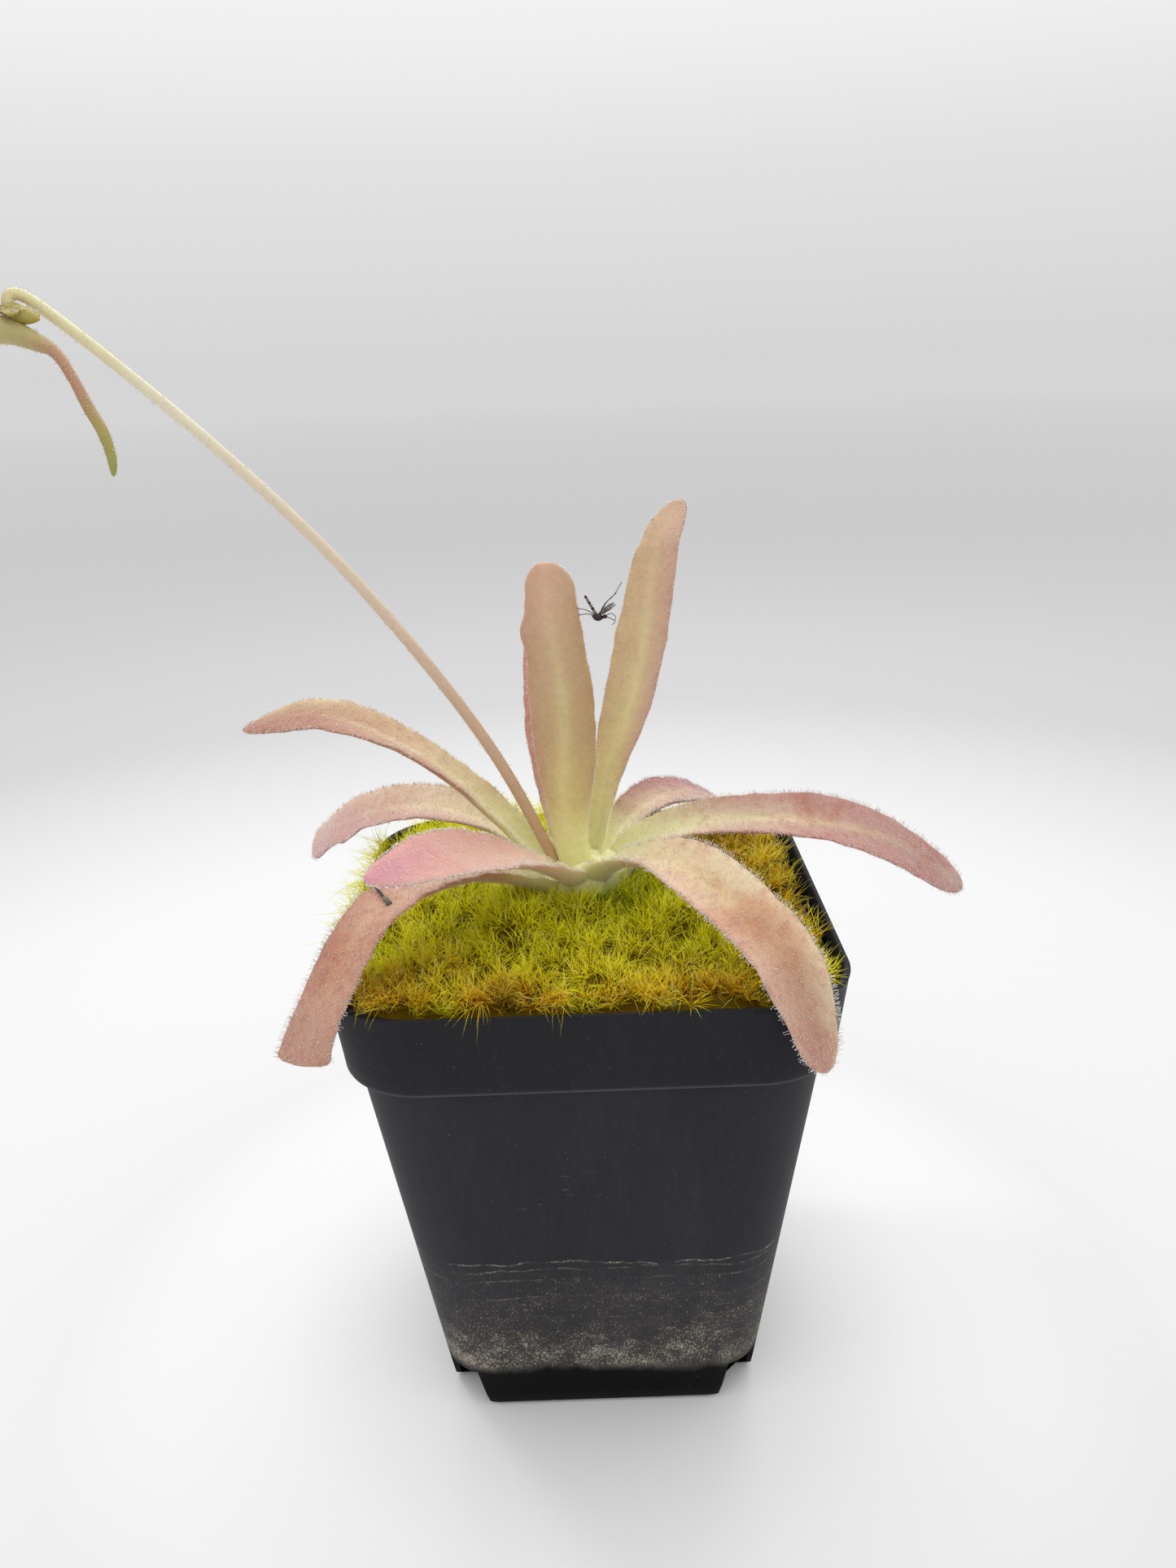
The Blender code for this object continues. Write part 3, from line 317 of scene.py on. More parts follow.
def between_stops(values, places, codes):
    """Colours at values, blended between the hex codes at given places."""
    stops = np.array([rgb(code) for code in codes])
    return np.stack([np.interp(values, places, stops[:, k]) for k in range(3)], -1)


def fill_ramp(node, stops):
    """Set a colour ramp's stops: hex codes, or single numbers for greys."""
    elements = node.color_ramp.elements
    while len(elements) < len(stops):
        elements.new(0.5)
    for element, (place, colour) in zip(elements, stops):
        element.position = place
        element.color = tint(colour) if isinstance(colour, str) else (colour, colour, colour, 1.0)


class Nodes:
    """Short names for building one material's node tree."""

    def __init__(self, name, roughness):
        self.mat = bpy.data.materials.new(name)
        self.mat.use_nodes = True
        self.tree = self.mat.node_tree
        self.shader = self.tree.nodes["Principled BSDF"]
        self.put("Roughness", roughness)

    def link(self, source, target):
        self.tree.links.new(source, target)

    def socket(self, target, value):
        if isinstance(value, bpy.types.NodeSocket):
            self.link(value, target)
        else:
            target.default_value = tint(value) if isinstance(value, str) else value

    def coords(self):
        return self.tree.nodes.new("ShaderNodeTexCoord").outputs["Object"]

    def attribute(self, name, kind="Fac"):
        node = self.tree.nodes.new("ShaderNodeAttribute")
        node.attribute_name = name
        return node.outputs[kind]

    def combine(self, x, y, z):
        node = self.tree.nodes.new("ShaderNodeCombineXYZ")
        for target, value in zip(node.inputs, (x, y, z)):
            self.socket(target, value)
        return node.outputs[0]

    def scaled(self, vector, scale):
        node = self.tree.nodes.new("ShaderNodeVectorMath")
        node.operation = "MULTIPLY"
        self.link(vector, node.inputs[0])
        node.inputs[1].default_value = scale
        return node.outputs[0]

    def noise(self, vector, scale, detail, rough=0.55, distortion=0.0):
        node = self.tree.nodes.new("ShaderNodeTexNoise")
        self.link(vector, node.inputs["Vector"])
        node.inputs["Scale"].default_value = scale
        node.inputs["Detail"].default_value = detail
        node.inputs["Roughness"].default_value = rough
        node.inputs["Distortion"].default_value = distortion
        return node.outputs["Fac"]

    def cells(self, vector, scale, feature="F1"):
        node = self.tree.nodes.new("ShaderNodeTexVoronoi")
        node.feature = feature
        self.link(vector, node.inputs["Vector"])
        node.inputs["Scale"].default_value = scale
        return node.outputs["Distance"]

    def math(self, operation, a, b=0.0, clamp=False):
        node = self.tree.nodes.new("ShaderNodeMath")
        node.operation = operation
        node.use_clamp = clamp
        self.socket(node.inputs[0], a)
        self.socket(node.inputs[1], b)
        return node.outputs[0]

    def times(self, a, b):
        return self.math("MULTIPLY", a, b)

    def plus(self, a, b, clamp=False):
        return self.math("ADD", a, b, clamp)

    def most(self, a, b):
        return self.math("MAXIMUM", a, b)

    def shifted(self, value, noise, size):
        """A value moved up and down by a noise."""
        return self.plus(value, self.times(self.math("SUBTRACT", noise, 0.5), size))

    def ramp(self, value, stops):
        node = self.tree.nodes.new("ShaderNodeValToRGB")
        self.link(value, node.inputs["Fac"])
        fill_ramp(node, stops)
        return node.outputs["Color"]

    def span(self, value, low, high, to_low=0.0, to_high=1.0):
        node = self.tree.nodes.new("ShaderNodeMapRange")
        self.socket(node.inputs["Value"], value)
        node.inputs["From Min"].default_value = low
        node.inputs["From Max"].default_value = high
        node.inputs["To Min"].default_value = to_low
        node.inputs["To Max"].default_value = to_high
        return node.outputs["Result"]

    def mix(self, factor, a, b, blend="MIX"):
        node = self.tree.nodes.new("ShaderNodeMix")
        node.data_type = "RGBA"
        node.blend_type = blend
        self.socket(node.inputs[0], factor)
        self.socket(node.inputs[6], a)
        self.socket(node.inputs[7], b)
        return node.outputs[2]

    def split(self, vector):
        node = self.tree.nodes.new("ShaderNodeSeparateXYZ")
        self.link(vector, node.inputs[0])
        return node.outputs

    def bump(self, height, depth, strength):
        """Bump whose height of 1 stands for a depth in millimetres."""
        node = self.tree.nodes.new("ShaderNodeBump")
        node.inputs["Strength"].default_value = strength
        node.inputs["Distance"].default_value = depth * MM
        self.link(height, node.inputs["Height"])
        self.link(node.outputs["Normal"], self.shader.inputs["Normal"])

    def finish(self, colour, roughness=None):
        self.socket(self.shader.inputs["Base Color"], colour)
        if roughness is not None:
            self.socket(self.shader.inputs["Roughness"], roughness)
        return self.mat

    def put(self, name, value):
        self.shader.inputs[name].default_value = value

    def soften(self, weight, radius, scale):
        """Light that passes a little way through living tissue; scale in millimetres."""
        self.put("Subsurface Weight", weight)
        self.put("Subsurface Radius", radius)
        self.put("Subsurface Scale", scale * MM)


# Mesh and curve helpers

def add_object(name, data):
    thing = bpy.data.objects.new(name, data)
    bpy.context.scene.collection.objects.link(thing)
    return thing


def turns(count):
    """Angles all the way round, evenly spaced."""
    return 2 * math.pi * np.arange(count) / count


def build(name, groups, mat, smooth=True, body="root"):
    """Make one piece from groups of (points in mm, blocks of faces, attributes).

    An attribute is one number or one colour for each point of its group.
    """
    mesh = bpy.data.meshes.new(name)
    points, corners, sizes = [], [], []
    names = sorted({key for group in groups for key in group[2]})
    values = {key: [] for key in names}
    start = 0
    for pts, faces, attributes in groups:
        for block in faces:
            corners.append((np.asarray(block, int) + start).ravel())
            sizes.append(np.full(len(block), len(block[0])))
        for key in names:
            value = np.asarray(attributes.get(key, 0.0), float)
            shape = (len(pts), 3) if key == "tone" else (len(pts),)
            values[key].append(np.broadcast_to(value, shape))
        points.append(pts * MM)
        start += len(pts)
    points, corners, sizes = np.vstack(points), np.concatenate(corners), np.concatenate(sizes)
    mesh.vertices.add(len(points))
    mesh.vertices.foreach_set("co", points.astype(np.float32).ravel())
    mesh.loops.add(len(corners))
    mesh.loops.foreach_set("vertex_index", corners.astype(np.int32))
    mesh.polygons.add(len(sizes))
    mesh.polygons.foreach_set("loop_start", np.r_[0, np.cumsum(sizes)[:-1]].astype(np.int32))
    mesh.update(calc_edges=True)
    for key in names:
        value = np.concatenate(values[key]).astype(np.float32)
        if key == "tone":
            layer = mesh.attributes.new(key, "FLOAT_COLOR", "POINT")
            layer.data.foreach_set("color", np.c_[value, np.ones(len(value), np.float32)].ravel())
        else:
            layer = mesh.attributes.new(key, "FLOAT", "POINT")
            layer.data.foreach_set("value", value)
    mesh.materials.append(mat)
    if smooth:
        mesh.shade_smooth()
    piece = add_object(name, mesh)
    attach(piece, body)
    return piece


def outward(piece):
    """Turn a closed piece's faces outwards."""
    bm = bmesh.new()
    bm.from_mesh(piece.data)
    bmesh.ops.recalc_face_normals(bm, faces=bm.faces)
    bm.to_mesh(piece.data)
    bm.free()


def unit(vectors):
    vectors = np.asarray(vectors, float)
    return vectors / np.maximum(np.linalg.norm(vectors, axis=-1, keepdims=True), 1e-9)


def square_to(axes, rng):
    """Two directions square to each axis, turned at random about it."""
    helper = rng.normal(size=axes.shape)
    side = unit(np.cross(axes, helper))
    return side, np.cross(axes, side)


def ring_quads(rings, ring):
    """Quads between rings that follow each other, each of so many points."""
    j = np.arange(ring)
    k = (j + 1) % ring
    return np.vstack([np.stack([i * ring + j, i * ring + k, (i + 1) * ring + k, (i + 1) * ring + j], 1)
                      for i in range(rings - 1)])


def closed(rings, ends=None):
    """Points and faces of a closed skin: a grid of rings, and a fan over each end."""
    count, ring = rings.shape[:2]
    first, last = (rings[0].mean(0), rings[-1].mean(0)) if ends is None else ends
    points = np.vstack([rings.reshape(-1, 3), first, last])
    j = np.arange(ring)
    k = (j + 1) % ring
    foot = np.stack([k, j, np.full(ring, count * ring)], 1)
    head = np.stack([(count - 1) * ring + j, (count - 1) * ring + k, np.full(ring, count * ring + 1)], 1)
    return points, [ring_quads(count, ring), foot, head]


def spikes(centres, radii, tips, axes, rng):
    """Many small three-sided shapes at once, each closed by a point.

    centres and radii hold every ring of every shape (shapes, rings). Returns points,
    faces and each point's share of the way from root to tip.
    """
    sides, ups = square_to(axes, rng)
    shapes, rings = radii.shape
    angle = turns(3)
    around = sides[:, None, None] * np.cos(angle)[None, None, :, None]
    around = around + ups[:, None, None] * np.sin(angle)[None, None, :, None]
    skin = centres[:, :, None] + around * radii[:, :, None, None]
    points = np.concatenate([skin.reshape(shapes, rings * 3, 3), tips[:, None]], 1)
    tip = rings * 3
    ends = np.array([(tip - 3, tip - 2, tip), (tip - 2, tip - 1, tip), (tip - 1, tip - 3, tip), (2, 1, 0)])
    starts = np.arange(shapes)[:, None, None] * (tip + 1)
    faces = [(block[None] + starts).reshape(-1, block.shape[1]) for block in (ring_quads(rings, 3), ends)]
    share = np.r_[np.repeat(np.arange(rings) / rings, 3), 1.0]
    return points.reshape(-1, 3), faces, np.tile(share, shapes)


def for_each_point(values, points):
    """Repeat what each shape has for all the points of that shape."""
    return np.repeat(values, len(points) // len(values), axis=0)


def needles(roots, axes, lengths, radii, bends, rng, steps):
    """Tapering needles that bend: rings along a parabola, then a point."""
    shares = np.arange(steps) / steps
    along = lengths[:, None] * shares[None]
    centres = roots[:, None] + axes[:, None] * along[..., None]
    centres = centres + bends[:, None] * (lengths[:, None] * shares[None] ** 2)[..., None]
    widths = radii[:, None] * (1 - 0.75 * shares[None] ** 1.5)
    tips = roots + (axes + bends) * lengths[:, None]
    return spikes(centres, widths, tips, axes, rng)


def glands(roots, axes, lengths, heads, rng):
    """Stalked glands: a thin stalk that ends in a round drop."""
    rows = ((-0.05, 0.0, GLAND_STALK, 0.0), (1.0, -1.0, GLAND_STALK * 0.7, 0.0), (1.0, 0.0, 0.0, 1.0))
    reach = np.stack([lengths * a + heads * b for a, b, _, _ in rows], 1)
    widths = np.stack([stalk + heads * head for _, _, stalk, head in rows], 1)
    centres = roots[:, None] + axes[:, None] * reach[..., None]
    tips = roots + axes * (lengths + heads * 0.95)[:, None]
    return spikes(centres, widths, tips, axes, rng)


def tube(points, radii, ring):
    """Rings of a round tube along a line of points."""
    axes = unit(np.gradient(points, axis=0))
    helper = np.array([0.31, 0.87, 0.38])
    side = unit(helper - axes[0] * (helper @ axes[0]))
    sides = []
    for axis in axes:
        side = unit(side - axis * (side @ axis))
        sides.append(side)
    sides = np.array(sides)
    ups = np.cross(axes, sides)
    angle = turns(ring)
    return points[:, None] + radii[:, None, None] * (
        sides[:, None] * np.cos(angle)[None, :, None] + ups[:, None] * np.sin(angle)[None, :, None])


def rod(points, radii, ring):
    """Points and faces of a round closed rod along a line of points."""
    return closed(tube(points, radii, ring), (points[0], points[-1]))


def spline(points, shares):
    """Stations at given shares of the length of a centripetal Catmull-Rom curve."""
    p = np.asarray(points, float)
    p = np.vstack([2 * p[0] - p[1], p, 2 * p[-1] - p[-2]])
    fine = []
    for i in range(1, len(p) - 2):
        knots = [0.0]
        for a, b in zip(p[i - 1:i + 2], p[i:i + 3]):
            knots.append(knots[-1] + math.sqrt(np.linalg.norm(b - a)))
        k0, k1, k2, k3 = knots
        for t in np.linspace(k1, k2, 16, endpoint=False):
            a1 = ((k1 - t) * p[i - 1] + (t - k0) * p[i]) / (k1 - k0)
            a2 = ((k2 - t) * p[i] + (t - k1) * p[i + 1]) / (k2 - k1)
            a3 = ((k3 - t) * p[i + 1] + (t - k2) * p[i + 2]) / (k3 - k2)
            b1 = ((k2 - t) * a1 + (t - k0) * a2) / (k2 - k0)
            b2 = ((k3 - t) * a2 + (t - k1) * a3) / (k3 - k1)
            fine.append(((k2 - t) * b1 + (t - k1) * b2) / (k2 - k1))
    fine = np.array(fine + [p[-2]])
    lengths = np.r_[0, np.cumsum(np.linalg.norm(np.diff(fine, axis=0), axis=1))]
    stations = np.asarray(shares) * lengths[-1]
    return np.stack([np.interp(stations, lengths, fine[:, k]) for k in range(3)], 1), lengths[-1]


def sample(grid, rows, columns):
    """Read a grid between its points."""
    i = np.clip(np.floor(rows).astype(int), 0, grid.shape[0] - 2)
    j = np.clip(np.floor(columns).astype(int), 0, grid.shape[1] - 2)
    a, b = (rows - i)[:, None], (columns - j)[:, None]
    return ((1 - a) * (1 - b) * grid[i, j] + a * (1 - b) * grid[i + 1, j]
            + (1 - a) * b * grid[i, j + 1] + a * b * grid[i + 1, j + 1])


def smoothed(line, window):
    """A line of points with its small kinks rounded, ends kept."""
    out = line.copy()
    kernel = np.hanning(window + 2)[1:-1]
    kernel /= kernel.sum()
    pad = window // 2
    for k in range(line.shape[1]):
        values = line[:, k]
        before = 2 * values[0] - values[pad:0:-1]
        after = 2 * values[-1] - values[-2:-pad - 2:-1]
        out[:, k] = np.convolve(np.r_[before, values, after], kernel, "valid")
    return out


def ease(values, t):
    """Read evenly spaced values at t with rounded corners between them."""
    grid = np.linspace(-0.1, 1.1, 241)
    knots = np.linspace(0, 1, len(values))
    line = np.interp(grid, knots, values)
    first, last = values[1] - values[0], values[-1] - values[-2]
    line = np.where(grid < 0, values[0] + first * (len(values) - 1) * grid, line)
    line = np.where(grid > 1, values[-1] + last * (len(values) - 1) * (grid - 1), line)
    window = np.hanning(31)
    smooth = np.convolve(line, window / window.sum(), "same")
    return np.interp(t, grid, smooth)


def ripple(rng, t, waves, size):
    """An uneven wave along a leaf, from a few sines with random phases."""
    total = np.zeros_like(t)
    for count in waves:
        total += np.sin(2 * math.pi * count * t + rng.uniform(0, 2 * math.pi)) / math.sqrt(count)
    return total * size


# Leaves

def leaf_frames(row, stations):
    """Stations along a leaf: points, side and upper-face directions, half widths, cups."""
    radius, height = row["ring"]
    base = math.radians(row["base"])
    root = (CROWN[0] + radius * math.cos(base), CROWN[1] + radius * math.sin(base), height)
    even = np.linspace(0, 1, stations + 1)
    t = even * (1 - LEAF_CROWDING) + (1 - np.cos(math.pi * even)) / 2 * LEAF_CROWDING
    points, length = spline([root] + row["path"], t)
    points = smoothed(points, LEAF_SMOOTHING)
    along = unit(np.gradient(points, t, axis=0))
    turn = np.radians(row["base"] + (row["facing"] - row["base"]) * np.clip(t * 4, 0, 1))
    side = np.stack([-np.sin(turn), np.cos(turn), np.zeros_like(turn)], 1)
    side = unit(side - along * (side * along).sum(1)[:, None])
    face = np.cross(along, side)
    roll = np.radians(ease(row["roll"], t))[:, None]
    side, face = side * np.cos(roll) + face * np.sin(roll), face * np.cos(roll) - side * np.sin(roll)
    to_tip = np.clip((1 - t) * length / row["tip"], 0, 1)
    half = ease(row["widths"], t) / 2 * np.sqrt(1 - (1 - to_tip) ** 2)
    half = half * (1 + row["sheath"] * np.exp(-(t / SHEATH_REACH) ** 2))
    cup = np.radians(ease(row.get("cup", LEAF_CUP), t))
    cup = np.where(abs(cup) < 0.01, 0.01, cup)
    return points, side, face, np.maximum(half, LEAF_MIN_HALF), cup, t


def leaf_colours(row, t, across, rng):
    """Colour of each place on a leaf: along it, towards each margin and along the midrib."""
    shift = ripple(rng, t, (2, 3, 5), 0.02)
    body = between_stops(t + shift, np.linspace(0, 1, len(row["colours"])), row["colours"])
    body = np.broadcast_to(body[:, None], (len(t), len(across), 3)).copy()
    rise = np.clip((t - 0.10) / 0.32, 0, 1)
    rise = (rise * rise * (3 - 2 * rise))[:, None]
    fade = 1 - 0.5 * np.clip((t - 0.8) / 0.2, 0, 1)[:, None]
    for sign, code in zip((-1, 1), row["margins"]):
        wander = 1 + ripple(rng, t, (4, 7, 11), 0.10)[:, None]
        share = np.clip(across * sign, 0, 1)[None] ** 1.3 * rise * fade * 0.9 * wander
        body += (rgb(code) - body) * np.clip(share, 0, 1)[..., None]
    centre = 0.12 * np.sin(t * 9 + row["base"])[:, None]
    rib = np.exp(-((across[None] - centre) / 0.19) ** 2) * row["rib"] * 0.55
    rib = rib * np.clip((1.02 - t) * 1.8, 0, 1)[:, None]
    body += (rgb("#E4DCA4") - body) * rib[..., None]
    foot = np.clip(1 - t / row.get("pale", PALE_FOOT), 0, 1)[:, None, None] ** 0.8
    body += (rgb("#E6E6AA") - body) * foot * 0.9
    return body


def leaf_grid(row, stations, across, rng):
    """The leaf's middle surface as a grid, with its normals and its uneven margins."""
    points, side, face, half, cup, t = leaf_frames(row, stations)
    angle = cup[:, None] * across[None]
    radius = (half / cup)[:, None]
    lateral, lift = radius * np.sin(angle), radius * (1 - np.cos(angle))
    for place, margin, depth in row.get("waves", ()):
        bump = np.exp(-((t - place) / 0.05) ** 2)[:, None]
        lateral = lateral + margin * depth * bump * np.clip(across * margin, 0, 1)[None] ** 3
    body = np.clip(t * 6, 0, 1) * np.clip((1 - t) * 8, 0, 1)
    for margin in (-1, 1):
        reach = np.clip(across * margin, 0, 1)[None] ** 3
        lateral = lateral + margin * reach * (ripple(rng, t, (7, 11, 17), 0.12) * body)[:, None]
        lift = lift + reach * (ripple(rng, t, (5, 9, 14), 0.22) * body)[:, None]
    lift = lift + (ripple(rng, t, (4, 7), 0.12) * body)[:, None] * (1 - across[None] ** 2)
    grid = points[:, None] + side[:, None] * lateral[..., None] + face[:, None] * lift[..., None]
    slant = row.get("skew", 0.0) * np.clip((t - 0.8) / 0.2, 0, 1)
    grid = grid + np.cross(side, face)[:, None] * (lateral * slant[:, None])[..., None]
    normal = unit(np.cross(np.gradient(grid, axis=0), np.gradient(grid, axis=1)))
    flip = np.sign((normal * face[:, None]).sum(-1).mean())
    return grid, normal * flip, t, half


def leaf_surface(row, rng):
    """Upper and lower faces of a leaf, its normals and where their points lie across and along it."""
    u = np.linspace(-1, 1, LEAF_COLUMNS)
    across = np.sin(u * math.pi / 2)
    grid, normal, t, half = leaf_grid(row, LEAF_STATIONS, across, rng)
    middle = LEAF_THIN + (LEAF_THICK - LEAF_THIN) * (1 - t) ** 0.7
    thick = LEAF_THIN + (middle[:, None] - LEAF_THIN) * (1 - across[None] ** 2)
    thick = thick * np.sqrt(np.clip(1 - abs(across[None]) ** 10, 0, 1))
    thick = thick * np.clip(half, 0.25, 1)[:, None]
    rib = np.exp(-(across / RIB_HALF) ** 2)[None] * np.clip((1 - t) * 1.6, 0, 1)[:, None]
    groove = np.exp(-((abs(across) - GROOVE_PLACE) / GROOVE_HALF) ** 2)[None]
    groove = groove * np.clip((0.9 - t) * 1.6, 0, 1)[:, None]
    upper = grid + normal * (thick / 2 - RIB_DIP * rib)[..., None]
    lower = grid - normal * (thick / 2 + RIB_RISE * rib - GROOVE_DEPTH * groove)[..., None]
    return upper, lower, normal, across, t, half


def sample_colour(grid, rows, columns):
    return grid[np.clip(np.round(rows).astype(int), 0, grid.shape[0] - 1),
                np.clip(np.round(columns).astype(int), 0, grid.shape[1] - 1)]


def leaf_gland_group(row, upper, lower, normal, half, t, tone, rng):
    """Glands all over the upper face, thickest and longest along the margins, and a few below."""
    groups = []
    stations, columns = LEAF_STATIONS, LEAF_COLUMNS - 1
    by_length = np.gradient(t)
    by_area = np.clip(half, 0.8, None) * by_length
    for surface, sign, count, edge in ((upper, 1, MARGIN_GLANDS, True), (upper, 1, FACE_GLANDS, False),
                                       (lower, -1, BELOW_GLANDS, False)):
        weight = by_length if edge else by_area
        rows = rng.choice(stations + 1, size=count, p=weight / weight.sum()) + rng.uniform(-0.5, 0.5, count)
        rows = np.clip(rows, 2.5, stations - 0.1)
        if edge:
            place = rng.choice((-1, 1), count) * rng.uniform(0.90, 0.998, count)
        else:
            place = rng.uniform(-0.94, 0.94, count)
        cols = (np.arcsin(place) / (math.pi / 2) + 1) / 2 * columns
        roots = sample(surface, rows, cols)
        axes = sample(normal, rows, cols) * sign
        if edge:
            middle = sample(surface, rows, np.full(count, columns / 2))
            axes = axes * rng.uniform(-0.2, 1.0, count)[:, None]
            axes = axes + unit(roots - middle) * rng.uniform(0.6, 1.3, count)[:, None]
        axes = unit(axes + rng.normal(size=(count, 3)) * GLAND_MESS)
        span = GLAND_LENGTH if edge else FACE_GLAND_LENGTH
        short_at_base = 0.6 + 0.4 * np.clip(rows / stations * 5, 0, 1)
        lengths = row["fuzz"] * rng.uniform(*span, count) * short_at_base
        heads = GLAND_HEAD * rng.uniform(0.6, 1.15, count)
        points, faces, share = glands(roots, axes, lengths, heads, rng)
        colour = for_each_point(sample_colour(tone, rows, cols), points)
        groups.append((points, faces, {"along": share, "tone": colour}))
    return groups


def all_round(upper, lower):
    """Columns over the upper face and back along the lower one."""
    return np.concatenate([upper, lower[:, -2:0:-1]], 1)


def make_leaf(name, row, seed, skin_mat, gland_mat):
    rng = np.random.default_rng(seed)
    upper, lower, normal, across, t, half = leaf_surface(row, rng)
    tone = leaf_colours(row, t, across, rng)
    skin = all_round(upper, lower)
    points, faces = closed(skin)

    def over_skin(values, ends):
        return np.r_[np.broadcast_to(values, skin.shape[:2]).ravel(), ends]

    tones = all_round(tone, tone).reshape(-1, 3)
    below = np.r_[np.zeros(LEAF_COLUMNS), np.ones(LEAF_COLUMNS - 2)]
    attributes = {
        "tone": np.vstack([tones, tone[0].mean(0), tone[-1].mean(0)]),
        "across": over_skin(all_round(across[None], across[None]), (0.0, 0.0)),
        "along": over_skin(t[:, None], (0.0, 1.0)),
        "below": over_skin(below[None], (0.5, 0.5)),
        "patches": row["patches"],
    }
    blade = build(name + "_blade", [(points, faces, attributes)], skin_mat)
    outward(blade)
    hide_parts(name)
    groups = leaf_gland_group(row, upper, lower, normal, half, t, tone, rng)
    hairs = build(name + "_glands", groups, gland_mat)
    step = LEAF_CLOUD_STEP
    return np.concatenate([face[::step, ::step].reshape(-1, 3) for face in (upper, lower)])


def leaf_skin():
    """Thin, softly lit tissue with faint streaks, salmon patches and fine pale dots, partly gland dots and
    partly painted glints.
    """
    n = Nodes("leaf skin", 0.5)
    coords = n.coords()
    tone = n.attribute("tone", "Color")
    along = n.attribute("along")
    lengthways = n.combine(n.attribute("across"), n.times(along, 1.5), 0.0)
    streaks = n.noise(lengthways, 9, 3, 0.6)
    cloud = n.noise(coords, 105, 4, 0.62)
    mottle = n.noise(coords, 520, 4, 0.65)
    fine = n.noise(coords, 1100, 3, 0.6)
    dots = n.cells(coords, 2300)
    reach = n.times(n.span(along, 0.10, 0.28), n.attribute("patches"))
    # Patches, streaks and freckles, each as its noise, range, strength and colour
    colour = tone
    for texture, low, high, share, code in ((cloud, 0.48, 0.66, 0.55, "#EABBAA"),
                                            (streaks, 0.52, 0.72, 0.22, "#E6BCB2"),
                                            (mottle, 0.50, 0.68, 0.48, "#E2AEAA")):
        patch = n.times(n.span(texture, low, high), reach)
        colour = n.mix(n.times(patch, share), colour, code, "MULTIPLY")
    colour = n.mix(1.0, colour, n.span(fine, 0.3, 0.7, 0.94, 1.06), "MULTIPLY")
    edge = n.span(n.math("POWER", n.math("ABSOLUTE", n.attribute("across")), 30.0), 0.3, 0.9)
    edge = n.times(edge, n.span(along, 0.15, 0.35, 0.0, 0.22))
    colour = n.mix(edge, colour, "#B07C6A")
    # Pale dots on the upper face: partly gland dots, partly painted glints
    upper = n.math("SUBTRACT", 1.0, n.attribute("below"))
    spot = n.times(n.span(dots, 0.28, 0.14), upper)
    colour = n.mix(n.times(spot, 0.22), colour, "#F8EEE2")
    n.soften(0.25, (1.0, 0.7, 0.5), 1.0)
    n.put("Specular IOR Level", 0.3)
    n.put("Sheen Weight", 0.34)
    n.put("Sheen Roughness", 0.45)
    n.put("Sheen Tint", tint("#FFF1EA"))
    height = n.plus(n.times(spot, 0.5), n.times(streaks, 0.8))
    n.bump(n.plus(height, cloud), 0.10, 0.6)
    return n.finish(colour, n.span(fine, 0.3, 0.7, 0.44, 0.58))


def gland_matter():
    """Milky sticky drops on pale stalks."""
    n = Nodes("stalked gland", 0.14)
    tone = n.attribute("tone", "Color")
    stalk = n.mix(0.8, tone, "#FFFAF5")
    drop = n.mix(0.93, tone, "#FFFEFC")
    colour = n.mix(n.span(n.attribute("along"), 0.3, 0.5), stalk, drop)
    n.put("Coat Weight", 0.3)
    n.put("Coat Roughness", 0.05)
    return n.finish(colour)


def make_leaves():
    """Make every leaf; returns a cloud of their points, which the moss keeps clear of."""
    skin, drop = leaf_skin(), gland_matter()
    return np.vstack([make_leaf(name, row, LEAF_SEED + index, skin, drop)
                      for index, (name, row) in enumerate(LEAVES.items())])


# Pot

def rounded_square(half, corner, z, steps=CORNER_STEPS):
    ring = []
    inner = half - corner
    for quarter in range(4):
        start = math.radians(90 * quarter)
        cx = inner * (1 if quarter in (0, 3) else -1)
        cy = inner * (1 if quarter in (0, 1) else -1)
        for step in range(steps + 1):
            angle = start + math.radians(90) * step / steps
            ring.append((cx + corner * math.cos(angle), cy + corner * math.sin(angle), z))
    return ring


def wall_half(z):
    return FOOT_HALF + (BAND_LOW_HALF - BAND_STEP - FOOT_HALF) * z / BAND_LOW


def corner_radius(z):
    return FOOT_CORNER + (RIM_CORNER - FOOT_CORNER) * z / POT_HEIGHT


def rounded(half, height, offsets):
    return [(half + out, height + up) for out, up in offsets]


def pot_outside():
    """Heights and half widths down the outside, with small radii on every edge."""
    profile = rounded(wall_half(0), 0, FOOT_ROUND) + [(wall_half(1), 1.0)]
    profile += [(wall_half(z), z) for z in np.linspace(3, BAND_LOW - 0.7, 14)]
    profile += rounded(wall_half(BAND_LOW), BAND_LOW, STEP_ROUND)
    profile += rounded(BAND_LOW_HALF, BAND_LOW, BAND_ROUND)
    slope = (RIM_HALF - BAND_LOW_HALF) / (BAND_HEIGHT - 0.4)
    profile += [(BAND_LOW_HALF + slope * (z - BAND_LOW - 0.6), z)
                for z in np.linspace(BAND_LOW + 3, POT_HEIGHT - 0.9, 5)]
    return profile + rounded(RIM_HALF, POT_HEIGHT, RIM_ROUND)


def skin_faces(rings):
    """Points and faces of stacked rings, with one face over each end."""
    count = len(rings[0])
    points = [p for ring in rings for p in ring]
    faces = ring_quads(len(rings), count).tolist()
    faces.append(list(range(count - 1, -1, -1)))
    faces.append(list(range(len(points) - count, len(points))))
    return points, faces


def plain_mesh(name, points, faces):
    mesh = bpy.data.meshes.new(name)
    mesh.from_pydata([tuple(float(c) * MM for c in p) for p in points], [], faces)
    piece = add_object(name, mesh)
    outward(piece)
    return piece


